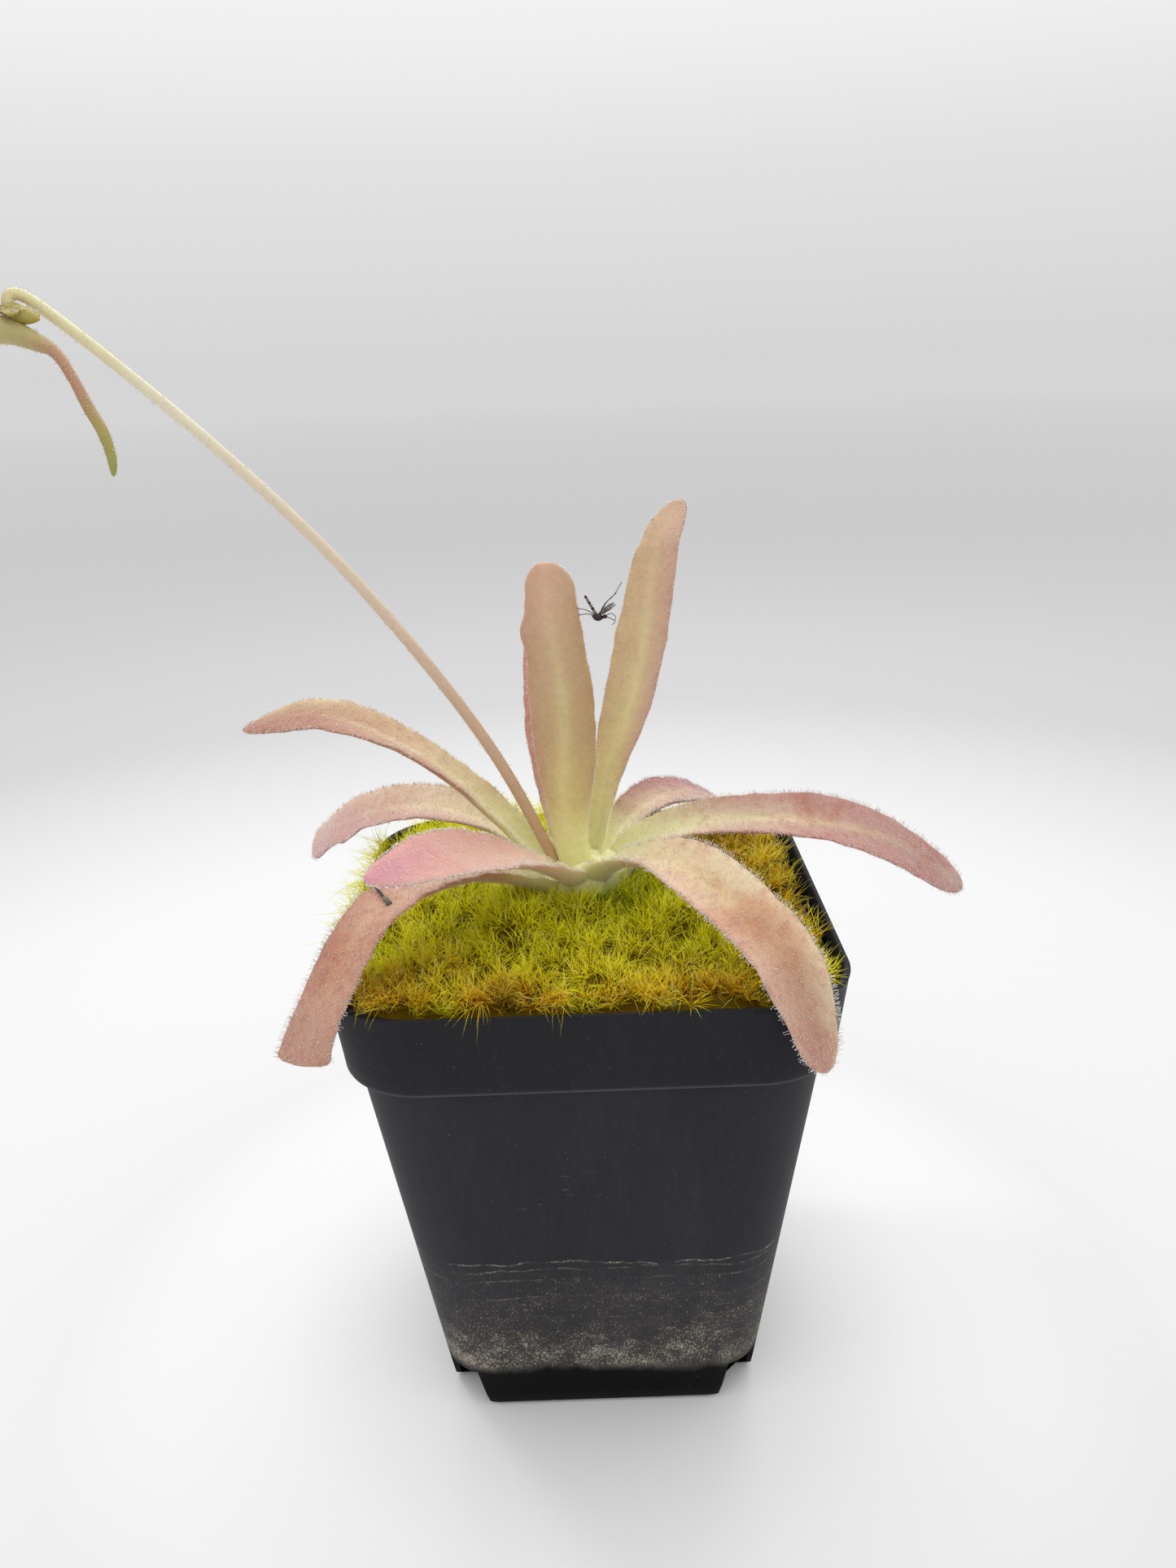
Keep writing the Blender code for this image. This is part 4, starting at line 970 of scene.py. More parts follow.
def corner_blocks(grow):
    """Blocks that cut the foot's corners away, with the step rounded over."""
    blocks = []
    for sx, sy in ((1, 1), (-1, 1), (-1, -1), (1, -1)):
        rings = []
        for z, half in NOTCH_PROFILE:
            low = half - grow
            height = z + grow if z == NOTCH_HEIGHT else z
            rings.append([(sx * (low + x), sy * (low + y), height) for x, y in NOTCH_OUTLINE])
        blocks.append(plain_mesh("foot_block", *skin_faces(rings)))
    return blocks


def cut(piece, cutters):
    """Cut a piece by others and drop them."""
    for cutter in cutters:
        modifier = piece.modifiers.new("cut", "BOOLEAN")
        modifier.operation = "DIFFERENCE"
        modifier.object = cutter
    depsgraph = bpy.context.evaluated_depsgraph_get()
    baked = bpy.data.meshes.new_from_object(piece.evaluated_get(depsgraph))
    piece.modifiers.clear()
    piece.data = baked
    for cutter in cutters:
        bpy.data.objects.remove(cutter, do_unlink=True)


def make_pot():
    outside = [rounded_square(half, corner_radius(z), z) for half, z in pot_outside()]
    inner_low = BAND_LOW + WALL
    inside = [(RIM_HALF - WALL, POT_HEIGHT - 0.3 - 0.6), (BAND_LOW_HALF - WALL + 0.2, inner_low + 0.8),
              (wall_half(inner_low) - WALL, inner_low - 0.2), (wall_half(FLOOR) - WALL, FLOOR)]
    rings = outside + [rounded_square(half, corner_radius(z) - WALL, z) for half, z in inside]
    pot = plain_mesh("pot_shell", *skin_faces(rings))
    cut(pot, corner_blocks(0))
    pot.data.shade_smooth()
    pot.data.set_sharp_from_angle(angle=math.radians(40))
    pot.data.materials.clear()
    pot.data.materials.append(pot_plastic())
    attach(pot, "root")
    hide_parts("pot")


def pot_plastic():
    """Charcoal plastic with scuffs, and veils, tide lines and specks of dried dirt low on the wall."""
    n = Nodes("charcoal plastic", 0.5)
    coords = n.coords()
    cloud = n.noise(n.scaled(coords, (1.0, 1.0, 0.35)), 60, 4, 0.6)
    brushed = n.noise(n.scaled(coords, (1.0, 1.0, 0.12)), 1500, 2, 0.6)
    base = n.ramp(cloud, [(0.3, "#2A2A2E"), (0.7, "#323238")])

    # Heights up the wall, in metres: the band is darker, and a painted highlight runs as a thin light line
    # along its lower edge
    height = n.split(coords)[2]
    band = n.span(height, 0.0683, 0.0700)
    base = n.mix(n.times(band, 0.5), base, "#202022")
    band_edge_highlight = n.times(n.span(height, 0.0686, 0.0688), n.span(height, 0.0694, 0.0691))
    base = n.mix(n.times(band_edge_highlight, 0.45), base, "#5C5C61")

    def wandering(scale, detail, reach, seed):
        """The height, shifted up and down along the wall by a noise of its own."""
        drift = n.noise(n.scaled(coords, (1.0, 1.0, 0.3 + seed)), scale, detail, 0.65)
        return n.shifted(height, drift, reach)

    def between(value, low, low_soft, high_soft, high):
        return n.times(n.span(value, low, low_soft), n.span(value, high, high_soft))

    foot_level = wandering(95, 4, 0.0060, 0.0)
    above_foot = n.span(foot_level, 0.0078, 0.0094)
    patchy = n.noise(coords, 130, 5, 0.7)
    grit = n.noise(n.scaled(coords, (1.0, 1.0, 0.55)), 4300, 2, 0.75)
    veils, lines = 0.0, 0.0
    for top, reach, scale, detail, veil, line in TIDE_LINES:
        level = wandering(scale, detail, reach, top * 10)
        veils = n.plus(n.times(n.span(level, top + 0.0002, top - 0.0002), veil), veils)
        border = between(level, top - 0.0004, top - 0.00012, top, top + 0.00015)
        lines = n.most(n.times(border, line), lines)
    veils = n.times(veils, n.span(patchy, 0.36, 0.62, 0.55, 1.1))
    broken = n.times(n.span(n.noise(coords, 190, 4, 0.7), 0.42, 0.58, 0.1, 1.0),
                    n.span(grit, 0.40, 0.62, 0.3, 1.3))
    lines = n.times(lines, broken)

    # Specks: the denser the veil, the more of them
    low_wall = between(height, 0.0080, 0.0100, 0.0300, 0.0345)
    fleck = n.plus(grit, n.times(veils, 0.60))
    fleck = n.shifted(fleck, patchy, 0.14)
    dense = n.times(n.span(fleck, 0.675, 0.725), low_wall)
    dust = n.times(n.span(n.noise(coords, 2600, 1, 0.5), 0.735, 0.77), 0.30)

    # Scuffs: short fine scratches in a few places
    scratch = n.noise(n.scaled(coords, (0.3, 0.3, 1.6)), 620, 2, 0.5, 1.2)
    scuffs = n.times(n.span(scratch, 0.67, 0.74), n.span(n.noise(coords, 42, 2), 0.55, 0.65))
    dirt = n.plus(veils, n.times(dense, 0.55), clamp=True)
    dirt = n.times(dirt, above_foot)
    dirt = n.most(dirt, n.times(lines, above_foot))
    dirt = n.most(dirt, dust)
    dirt = n.most(dirt, n.times(scuffs, 0.30))
    base = n.mix(n.span(foot_level, 0.0100, 0.0076), base, "#040405")
    base = n.mix(1.0, base, n.span(brushed, 0.3, 0.7, 0.93, 1.07), "MULTIPLY")
    mud = n.ramp(n.noise(coords, 260, 3), [(0.3, "#665E55"), (0.7, "#877E70")])
    mud = n.mix(n.most(n.times(dense, 0.6), lines), mud, "#C4BCAC")
    colour = n.mix(dirt, base, mud)
    rough = n.plus(n.span(cloud, 0.3, 0.7, 0.44, 0.54), n.times(dirt, 0.45))
    n.put("Specular IOR Level", 0.07)
    n.bump(n.plus(n.times(brushed, 0.3), dirt), 0.06, 0.7)
    return n.finish(colour, rough)


# Soil

def wall_reach(y, half):
    """How far the pot's opening reaches in x at a given y."""
    corner = RIM_CORNER - WALL - WALL_GAP
    beyond = abs(y) - (half - corner)
    if beyond <= 0:
        return half
    return half - corner + math.sqrt(max(corner ** 2 - beyond ** 2, 0.0))


def moss_border(y):
    """Where the green moss ends and the right-hand moss starts, in x."""
    return BORDER_X - BORDER_SLOPE * y + 1.3 * math.sin(y / 4.0)


def front_border(x):
    """Where the front moss ends and the others start, in y."""
    return MOSS_SPLIT_Y + 1.1 * math.sin(x / 4.5)


def stones(places, sizes, rng):
    """Rough little stones: jittered icosahedra, flattened at random."""
    bm = bmesh.new()
    bmesh.ops.create_icosphere(bm, subdivisions=1, radius=1.0)
    form = np.array([v.co for v in bm.verts])
    tris = np.array([[v.index for v in f.verts] for f in bm.faces])
    bm.free()
    count = len(places)
    jitter = rng.uniform(0.72, 1.2, (count, len(form), 1))
    squash = rng.uniform(0.55, 1.1, (count, 1, 3))
    local = form[None] * jitter * squash
    first = unit(rng.normal(size=(count, 3)))
    second, third = square_to(first, rng)
    turned = local[..., :1] * first[:, None] + local[..., 1:2] * second[:, None]
    turned = turned + local[..., 2:] * third[:, None]
    points = places[:, None] + turned * sizes[:, None, None]
    faces = tris[None] + np.arange(count)[:, None, None] * len(form)
    return points.reshape(-1, 3), [faces.reshape(-1, 3)]


def make_soil():
    """The peat that fills the pot, uneven on top, with stones on its bare strips."""
    rng = np.random.default_rng(SOIL_SEED)
    inset = WALL + WALL_GAP
    top_half = RIM_HALF - 0.3
    stations = [(wall_half(z), z) for z in (FLOOR + 0.3, NOTCH_HEIGHT, 69.0)]
    stations += [(BAND_LOW_HALF, 70.2), (top_half, SOIL_TOP - 0.4)]
    rings = [rounded_square(half - inset, corner_radius(z) - inset, z, SOIL_CORNER_STEPS)
             for half, z in stations]
    edge = rounded_square(top_half - inset, corner_radius(79) - inset, SOIL_TOP, SOIL_CORNER_STEPS)
    for share in (0.97, 0.93, 0.89, 0.85, 0.80, 0.74, 0.6, 0.3, 0.1):
        ring = np.array(edge) * (share, share, 1)
        ring[:, 2] += rng.uniform(-0.5, 0.35, len(ring))
        rings.append([tuple(p) for p in ring])
    soil = plain_mesh("soil_body", *skin_faces(rings))
    cut(soil, corner_blocks(inset))
    points = np.array([v.co for v in soil.data.vertices]) / MM
    polygons = [p.vertices[:] for p in soil.data.polygons]
    triangles = [face for face in polygons if len(face) == 3]
    triangles += [(face[0], face[i], face[i + 1]) for face in polygons if len(face) > 4
                  for i in range(1, len(face) - 1)]
    quads = [face for face in polygons if len(face) == 4]
    bpy.data.objects.remove(soil, do_unlink=True)

    places = []
    while len(places) < SOIL_STONES:
        x, y = rng.uniform(-MOSS_HALF, MOSS_HALF, 2)
        reach = wall_reach(y, MOSS_HALF)
        bare_right = x > reach - MOSS_INSET_RIGHT - BARE_OVERLAP
        bare_back = y > MOSS_HALF - MOSS_INSET_BACK - BARE_OVERLAP and x > moss_border(y)
        if (bare_right or bare_back) and abs(x) < reach - 0.3:
            places.append((x, y, SOIL_TOP + rng.uniform(-0.3, 0.9)))
    sizes = rng.choice(STONE_SIZES, SOIL_STONES, p=STONE_SHARES)
    grit, grit_faces = stones(np.array(places), sizes, rng)
    shade = for_each_point(rng.uniform(0, 1, SOIL_STONES), grit)
    groups = [(points, [triangles, quads], {}), (grit, grit_faces, {"shade": shade, "grit": 1.0})]
    piece = build("soil_bed", groups, soil_matter(), smooth=False)
    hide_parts("soil")


def soil_matter():
    n = Nodes("peat and grit", 0.9)
    coords = n.coords()
    crumbs = n.noise(coords, 420, 5, 0.75)
    peat = n.ramp(crumbs, [(0.3, "#0E0906"), (0.55, "#20150C"), (0.75, "#3C2917")])
    stone = n.ramp(n.attribute("shade"), [(0.0, "#150E09"), (0.45, "#2E1E10"), (0.7, "#5E432A"),
                                          (0.9, "#8A7358"), (1.0, "#B0A594")])
    colour = n.mix(n.attribute("grit"), peat, stone)
    n.put("Specular IOR Level", 0.2)
    n.bump(crumbs, 0.5, 0.8)
    return n.finish(colour, n.span(crumbs, 0.3, 0.7, 0.7, 0.95))


# Moss

def moss_lumps(x, y):
    """Low cushions, 6 to 12 mm across, that make the moss's top uneven."""
    return (0.55 * np.sin(x / 1.9 + 1.3 * np.sin(y / 3.1)) * np.cos(y / 2.3 + 0.8 * np.sin(x / 2.7))
            + 0.45 * np.sin(x / 3.7 - y / 4.1 + 1.0))


def moss_height(x, y, leaves, sink):
    """Top of the moss: higher by the crown, low under a leaf and in the pot's back left corner."""
    x, y = np.asarray(x, float), np.asarray(y, float)
    out = np.maximum(abs(x), abs(y)) / MOSS_HALF
    corner = np.clip((y - 4) / 12, 0, 1) * np.clip((-x - 22) / 9, 0, 1)
    z = MOSS_EDGE - sink + MOSS_DOME * (1 - out ** 2) + moss_lumps(x, y) - 2.6 * corner
    flat = z.ravel()
    xs, ys = x.ravel(), y.ravel()
    low = leaves[leaves[:, 2] < LOW_LEAF]
    for start in range(0, len(xs), MOSS_BATCH):
        part = slice(start, start + MOSS_BATCH)
        gap = np.hypot(low[None, :, 0] - xs[part, None], low[None, :, 1] - ys[part, None])
        over = np.where(gap < LEAF_SHADE, low[None, :, 2], np.inf).min(1)
        flat[part] = np.minimum(flat[part], over - LEAF_THICK)
    return flat.reshape(x.shape)


def moss_tones(x, y, rust, jitter, rng):
    """Colour of each blade's tip: green by the crown, gold towards the front, rust where rust is high, and
    darker in painted shade under the leaves just right of the crown.
    """
    drift = (0.5 * np.sin(x / 4.3 + 1.1 * np.sin(y / 5.9)) * np.cos(y / 3.7 - 0.7 * np.sin(x / 6.1))
             + 0.35 * np.sin(x / 2.3 + y / 2.9))
    # Painted shade under the leaves just right of the crown: the tips there are darker, and greener
    shade = np.exp(-((x - 7) / 6) ** 2 - ((y + 6) / 6) ** 2)
    value = rust + 0.20 * drift + 0.24 * np.clip((-20 - y) / 13, 0, 1) - 0.3 * shade + jitter
    for place_x, place_y, reach, change in RUST_PATCHES:
        value = value + change * np.exp(-((x - place_x) / reach) ** 2 - ((y - place_y) / 3.0) ** 2)
    tone = between_stops(value, *zip(*MOSS_TONES))
    straw = (rng.uniform(size=len(x)) < 0.18) * rng.uniform(0.3, 0.9, len(x))
    tone += (rgb("#F6EE8C") - tone) * straw[:, None]
    # Each blade's random brightness, darkened by the painted shade under the leaves
    tone = tone * (rng.uniform(0.80, 1.20, len(x)) * (1 - 0.3 * shade))[:, None]
    return np.clip(tone * LESS_BLUE, 0, 1)


class Moss:
    """One cushion: a dark body with thousands of fine blades in radiating tufts."""

    def __init__(self, area, inside, leaves, tree, columns, rows, rust, sink=0.0):
        self.inside, self.sink, self.rust, self.leaves, self.tree = inside, sink, rust, leaves, tree
        a, b = np.meshgrid(np.linspace(0, 1, columns + 1), np.linspace(0, 1, rows + 1))
        spots = np.array([area(p, q) for p, q in zip(a.ravel(), b.ravel())])
        top = self.body_top(spots[:, 0], spots[:, 1])
        width = columns + 1
        cell = (np.arange(rows)[:, None] * width + np.arange(columns)[None]).ravel()
        quads = np.stack([cell, cell + 1, cell + width + 1, cell + width], 1)
        number = np.arange(len(top)).reshape(rows + 1, width)
        rim = np.r_[number[0], number[1:, -1], number[-1, -2::-1], number[-2:0:-1, 0]]
        low = top[rim] * (1, 1, 0) + (0, 0, SOIL_TOP + 0.3)
        below = len(top) + np.arange(len(rim))
        skirt = np.stack([np.roll(rim, -1), rim, below, np.roll(below, -1)], 1)
        fan = np.stack([below, np.roll(below, -1), np.full(len(rim), len(top) + len(rim))], 1)
        tone = rgb("#665A10" if rust < 0.5 else "#3E2A10")
        points = np.vstack([top, low, low.mean(0)])
        self.groups = [(points, [np.vstack([quads, skirt]), fan], {"tone": tone})]

    def body_top(self, x, y, rise=0.0):
        """Places on the body, below the blades' tips."""
        z = moss_height(x, y, self.leaves, self.sink) - MOSS_DEPTH + rise
        return np.stack([x, y, np.maximum(z, SOIL_TOP + 0.6)], 1)

    def grow(self, spacing, tuft_spacing, blades, seed, length, gaps, steps=2, curl=1.0):
        """Plant shoots that lean away from the middle of their tuft; each is a star of curved blades."""
        rng = np.random.default_rng(seed)
        spots = np.array([p for p in jittered(spacing, seed) if self.inside(*p)])
        holes = np.sin(spots[:, 0] / 2.1 + 0.8) * np.sin(spots[:, 1] / 2.6)
        spots = spots[holes + rng.uniform(-0.3, 0.3, len(spots)) > gaps]
        count = len(spots)
        tufts = np.array(jittered(tuft_spacing, seed + 100))
        near = np.linalg.norm(spots[:, None] - tufts[None], axis=2).argmin(1)
        away = (spots - tufts[near]) / (tuft_spacing * 0.6)
        reach = np.clip(np.linalg.norm(away, axis=1), 0, 1.2)
        mood = rng.uniform(-0.08, 0.08, len(tufts))
        rise = 1.9 * (1 - reach ** 2) * rng.uniform(0.7, 1.2, count) - 0.7
        roots = self.body_top(spots[:, 0], spots[:, 1], np.clip(rise, -1.4, 1.8))
        flat = away * 1.05 + spots / MOSS_HALF * 0.12 + rng.normal(size=(count, 2)) * 0.15
        lean = unit(np.c_[flat, np.ones(count)])
        jitter = mood[near] + rng.uniform(-0.05, 0.05, count)
        self.plant(roots, lean, jitter, blades, length, (3, 22, 62), (0.045, 0.080), rng, DROOP, steps, curl)

    def plant(self, roots, lean, jitter, blades, length, spread, radii, rng, droop=DROOP, steps=2, curl=1.0):
        """Grow a star of blades at each root, round the way that it leans.

        length and radii are ranges in millimetres, and spread is the least, usual and
        greatest angle in degrees between a blade and the way that its root leans.
        """
        stars = (len(roots), blades)
        side, up = square_to(lean, rng)
        turn = rng.uniform(0, 2 * math.pi, stars)
        tilt = np.radians(rng.triangular(*spread, stars))
        outwards = side[:, None] * np.cos(turn)[..., None] + up[:, None] * np.sin(turn)[..., None]
        axes = lean[:, None] * np.cos(tilt)[..., None] + outwards * np.sin(tilt)[..., None]
        start = roots[:, None] + lean[:, None] * rng.uniform(0, 1.2, (*stars, 1))
        bends = outwards * rng.uniform(0.0, 0.4, (*stars, 1)) + rng.normal(size=(*stars, 3)) * 0.13
        bends[..., 2] -= rng.uniform(0.0, droop, stars)
        lengths = rng.uniform(*length, stars) * rng.uniform(0.8, 1.12, (len(roots), 1))
        start, axes, lengths = start.reshape(-1, 3), axes.reshape(-1, 3), lengths.ravel()
        bends = bends.reshape(-1, 3) * curl
        keep = self.free(start, axes, bends, lengths)
        start, axes, bends, lengths = start[keep], axes[keep], bends[keep], lengths[keep]
        widths = rng.uniform(*radii, len(start))
        points, faces, along = needles(start, axes, lengths, widths, bends, rng, steps)
        tone = moss_tones(start[:, 0], start[:, 1], self.rust, np.repeat(jitter, blades)[keep], rng)
        self.groups.append((points, faces, {"along": along, "tone": for_each_point(tone, points)}))

    def free(self, start, axes, bends, lengths):
        """Blades whose middle and tip stay off the leaves, the stalk and the pot's wall."""
        keep = np.ones(len(start), bool)
        for share, gap in ((0.5, 0.75), (0.8, 0.7), (1.0, 0.7)):
            tips = start + (axes * share + bends * share ** 2) * lengths[:, None]
            keep &= np.array([self.tree.find(p)[2] for p in tips]) > gap
            reach = np.maximum(abs(tips[:, 0]), abs(tips[:, 1]))
            keep &= (reach < MOSS_HALF + 0.2) | (tips[:, 2] > POT_HEIGHT + 0.25) | (reach > RIM_HALF + 0.2)
        return keep

    def hang(self, rng, centres, count, out, rust, tilt, length, radii, droop, steps):
        """Clumps of shoots that lean out over one side of the rim."""
        along = np.array([-out[1], out[0], 0.0])
        out = np.array([*out, 0.0])
        roots, lean = [], []
        for centre in np.repeat(centres, count):
            place = centre + rng.normal() * HANG_SPREAD
            root = out * (MOSS_HALF - rng.uniform(0.1, 1.4)) + along * place
            roots.append((*root[:2], MOSS_EDGE + rng.uniform(-0.8, 0.4)))
            lean.append(out * rng.uniform(*tilt) + (0, 0, 0.75))
        jitter = rust + rng.uniform(-0.15, 0.15, len(roots))
        self.plant(np.array(roots), unit(lean), jitter, RIM_BLADES, length, (4, 22, 55), radii, rng,
                   droop, steps, HANG_CURL)

    def litter(self, spots, sizes, colours, rng):
        """Flat dry chips that lie on the moss."""
        heights = moss_height(spots[:, 0], spots[:, 1], self.leaves, self.sink) - 0.6
        points, faces = stones(np.c_[spots, heights], sizes, rng)
        middle = for_each_point(heights, points)
        points[:, 2] = middle + (points[:, 2] - middle) * CHIP_FLATNESS
        self.groups.append((points, faces, {"along": 1.0, "tone": for_each_point(colours, points)}))

    def finish(self, mat, node, slot):
        piece = build(node + "_shoots", self.groups, mat)
        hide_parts(node)


def jittered(spacing, seed):
    """Places all over the pot's top on a grid, each moved a little at random."""
    rng = random.Random(seed)
    steps = int(2 * MOSS_HALF / spacing) + 1
    spots = []
    for row in range(steps):
        for column in range(steps):
            x = -MOSS_HALF + (column + 0.5 * (row % 2)) * spacing + rng.uniform(-0.5, 0.5) * spacing
            y = -MOSS_HALF + row * spacing + rng.uniform(-0.5, 0.5) * spacing
            spots.append((x, y))
    return spots


def make_moss(leaves):
    """The three cushions, whose blades keep off the leaves, the stalk and the collar."""
    tree = KDTree(len(leaves))
    for index, point in enumerate(leaves):
        tree.insert(point, index)
    tree.balance()
    rng = np.random.default_rng(MOSS_SEED)

    def behind_front(a, b, back):
        wave = front_border(2 * MOSS_HALF * (a - 0.5)) + MOSS_GAP
        return wave * (1 - b) + back * b

    def green_area(a, b):
        y = behind_front(a * GREEN_SHARE, b, MOSS_HALF)
        return -wall_reach(y, MOSS_HALF) * (1 - a) + (moss_border(y) - MOSS_GAP) * a, y

    def front_area(a, b):
        wave = front_border(2 * MOSS_HALF * (a - 0.5)) - MOSS_GAP
        y = -MOSS_HALF * (1 - b) + wave * b
        return wall_reach(y, MOSS_HALF) * (2 * a - 1), y

    def right_area(a, b):
        y = behind_front(GREEN_SHARE + a * RIGHT_SHARE, b, MOSS_HALF - MOSS_INSET_BACK)
        return (moss_border(y) + MOSS_GAP) * (1 - a) + (wall_reach(y, MOSS_HALF) - MOSS_INSET_RIGHT) * a, y

    def in_pot(x, y):
        return abs(y) < MOSS_HALF - MOSS_SPARE and abs(x) < wall_reach(y, MOSS_HALF) - MOSS_SPARE

    def in_green(x, y):
        open_middle = math.hypot(x - CROWN[0], y - CROWN[1]) > CROWN_CLEARING
        return in_pot(x, y) and open_middle and x < moss_border(y) and y > front_border(x)

    def in_front(x, y):
        return in_pot(x, y) and y <= front_border(x)

    def in_right(x, y):
        free = wall_reach(y, MOSS_HALF) - MOSS_INSET_RIGHT
        return moss_border(y) <= x < free and front_border(x) < y < MOSS_HALF - MOSS_INSET_BACK

    green = Moss(green_area, in_green, leaves, tree, columns=60, rows=60, rust=0.22)
    green.grow(spacing=1.55, tuft_spacing=6.4, blades=14, seed=81, length=(3.2, 5.6), gaps=-0.9)
    green.hang(rng, range(-20, 20, 5), 7, (-1, 0), rust=0.0, tilt=(0.3, 1.1), length=(3.2, 5.4),
               radii=(0.045, 0.07), droop=0.2, steps=2)

    # A ring of shoots close round the crown
    count = 130
    turn, ring = np.radians(rng.uniform(190, 350, count)), rng.uniform(7.9, 9.8, count)
    roots = np.c_[CROWN[0] + ring * np.cos(turn), CROWN[1] + ring * np.sin(turn), np.full(count, 83.9)]
    lean = unit(np.c_[np.cos(turn) * 0.15, np.sin(turn) * 0.15, np.ones(count)])
    green.plant(roots, lean, np.full(count, -0.1), RIM_BLADES, length=(3.4, 5.0), spread=(3, 16, 40),
                radii=(0.045, 0.07), rng=rng)
    green.finish(moss_matter("green moss"), "moss_green", "green_moss")

    front = Moss(front_area, in_front, leaves, tree, columns=70, rows=14, rust=0.31)
    front.grow(spacing=1.45, tuft_spacing=5.4, blades=16, seed=82, length=(3.0, 5.0), gaps=-0.9)
    for centres, count, rust, tilt, length, radii, droop, steps in (
            ((-15.5, -14.5, -4.5, -3, 8), 5, 0.2, (0.3, 1.1), (2.0, 3.6), (0.05, 0.08), 0.9, 3),
            ((-27, 1.0, 12, 20), 3, 0.3, (0.3, 1.0), (2.0, 3.2), (0.045, 0.07), 0.7, 3),
            (np.linspace(-30, 30, 26), 3, 0.15, (-0.2, 0.4), (2.4, 4.2), (0.045, 0.07), 0.4, 2)):
        front.hang(rng, centres, count, (0, -1), rust, tilt, length, radii, droop, steps)

    # Shoots round the front left corner
    count = 44
    y = rng.uniform(-35.6, -28.5, count)
    x = 0.6 - np.array([wall_reach(place, MOSS_HALF) for place in y])
    lean = unit(np.c_[rng.uniform(-0.6, 0.0, count), rng.uniform(-0.7, -0.1, count), np.full(count, 0.8)])
    jitter = rng.uniform(0.0, 0.35, count)
    roots = np.c_[x, y, np.full(count, MOSS_EDGE - 0.3)]
    front.plant(roots, lean, jitter, RIM_BLADES, length=(2.4, 4.0), spread=(4, 20, 50), radii=(0.045, 0.075),
                rng=rng, droop=0.5, steps=3, curl=1.4)
    front.finish(moss_matter("rusty moss"), "moss_front", "rusty_moss")

    right = Moss(right_area, in_right, leaves, tree, columns=20, rows=60, rust=0.78, sink=MOSS_SINK)
    right.grow(spacing=1.75, tuft_spacing=5.5, blades=14, seed=83, length=(3.0, 5.4), gaps=-0.55, steps=3,
               curl=2.0)

    # Clumps of shoots on the bare strip by the right wall
    count = 140
    y = rng.choice((-23, -16, -11, -3, 6, 10, 18, 25), count) + rng.normal(size=count) * 1.6
    x = np.array([wall_reach(place, MOSS_HALF) for place in y]) - rng.uniform(0.6, 4.4, count)
    lean = unit(np.c_[rng.uniform(-0.7, 0.05, count), rng.uniform(-0.5, 0.5, count), np.ones(count)])
    jitter = rng.uniform(-0.25, 0.15, count)
    roots = np.c_[x, y, np.full(count, SOIL_TOP + 0.3)]
    right.plant(roots, lean, jitter, RIM_BLADES, length=(2.4, 4.2), spread=(6, 30, 60), radii=(0.05, 0.08),
                rng=rng, droop=0.3, steps=3, curl=2.2)
    chips = np.c_[rng.uniform(15, 29, CHIPS), rng.uniform(8, 31, CHIPS)]
    sizes = rng.choice(CHIP_SIZES, CHIPS)
    wood = np.array([rgb(code) for code in CHIP_TONES])
    right.litter(chips, sizes, wood[rng.integers(0, len(wood), CHIPS)], rng)
    right.finish(moss_matter("brown moss"), "moss_right", "rusty_moss")


def moss_matter(name):
    """Fine translucent blades, dark at the root and bright at the tip."""
    n = Nodes(name, 0.8)
    tone = n.attribute("tone", "Color")
    root = n.mix(1.0, tone, "#EEDCA8", "MULTIPLY")
    colour = n.mix(n.span(n.attribute("along"), 0.0, 0.3), root, tone)
    n.put("Specular IOR Level", 0.04)
    n.soften(0.8, (1.0, 1.0, 0.15), 0.6)
    return n.finish(colour)


# Crown

def make_crown():
    """The pale short stem with the broad clasping bases of older leaves round it."""
    groups = []
    shares = np.linspace(0, 1, 60)
    for profile, ring, scales in ((CROWN_PROFILE, 72, 0), (COLLAR_PROFILE[::-1], 168, COLLAR_SCALES)):
        line, _ = spline([(r, 0.0, z) for r, z in profile], shares)
        radii, heights = np.maximum(line[:, 0], 0.02)[:, None], line[:, 2][:, None]
        angle = turns(ring)[None]
        if scales:
            turn = (angle * scales / (2 * math.pi) + 0.05 * (heights - COLLAR_FOLDS_FROM)) % 1
            fold = 0.93 + 0.13 * turn ** 0.5 * np.clip(1.15 - turn, 0, 0.3) / 0.3
            lift = 0.5 * np.sin(math.pi * turn) * np.clip((heights - COLLAR_FOLDS_FROM) / 4, 0, 1)
        else:
            fold = 1 + 0.05 * np.cos(7 * angle + heights * 0.55)
            lift = np.zeros_like(fold)
        x = CROWN[0] + radii * fold * np.cos(angle)
        y = CROWN[1] + radii * fold * np.sin(angle)
        groups.append((*closed(np.stack([x, y, heights + lift], -1)), {}))
    piece = build("crown_stem", groups, stem_matter())
    outward(piece)
    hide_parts("crown")
    return groups[1][0]


def stem_matter():
    """Pale yellow-green tissue with fine upright ribs."""
    n = Nodes("pale green stem", 0.4)
    coords = n.coords()
    cloud = n.noise(coords, 300, 4, 0.6)
    ribs = n.noise(n.scaled(coords, (1.0, 1.0, 0.08)), 900, 2, 0.6)
    colour = n.ramp(cloud, [(0.3, "#E2E4A2"), (0.6, "#ECEAB2"), (0.8, "#F0ECC0")])
    colour = n.mix(1.0, colour, n.span(ribs, 0.3, 0.7, 0.93, 1.06), "MULTIPLY")
    n.soften(0.7, (0.9, 1.0, 0.5), 2.0)
    n.bump(n.plus(cloud, ribs), 0.12, 0.6)
    return n.finish(colour)


# Flower stalk and flower

def on_skin(rings, line, rows, cols, rng, mess, lift=0.0):
    """Places on a tube's skin, and the way out from its middle line at each."""
    roots = sample(rings, rows, cols)
    middle = sample(np.repeat(line[:, None], 2, 1), rows, np.zeros(len(rows)))
    return roots, unit(unit(roots - middle) + (0, 0, lift) + rng.normal(size=roots.shape) * mess)


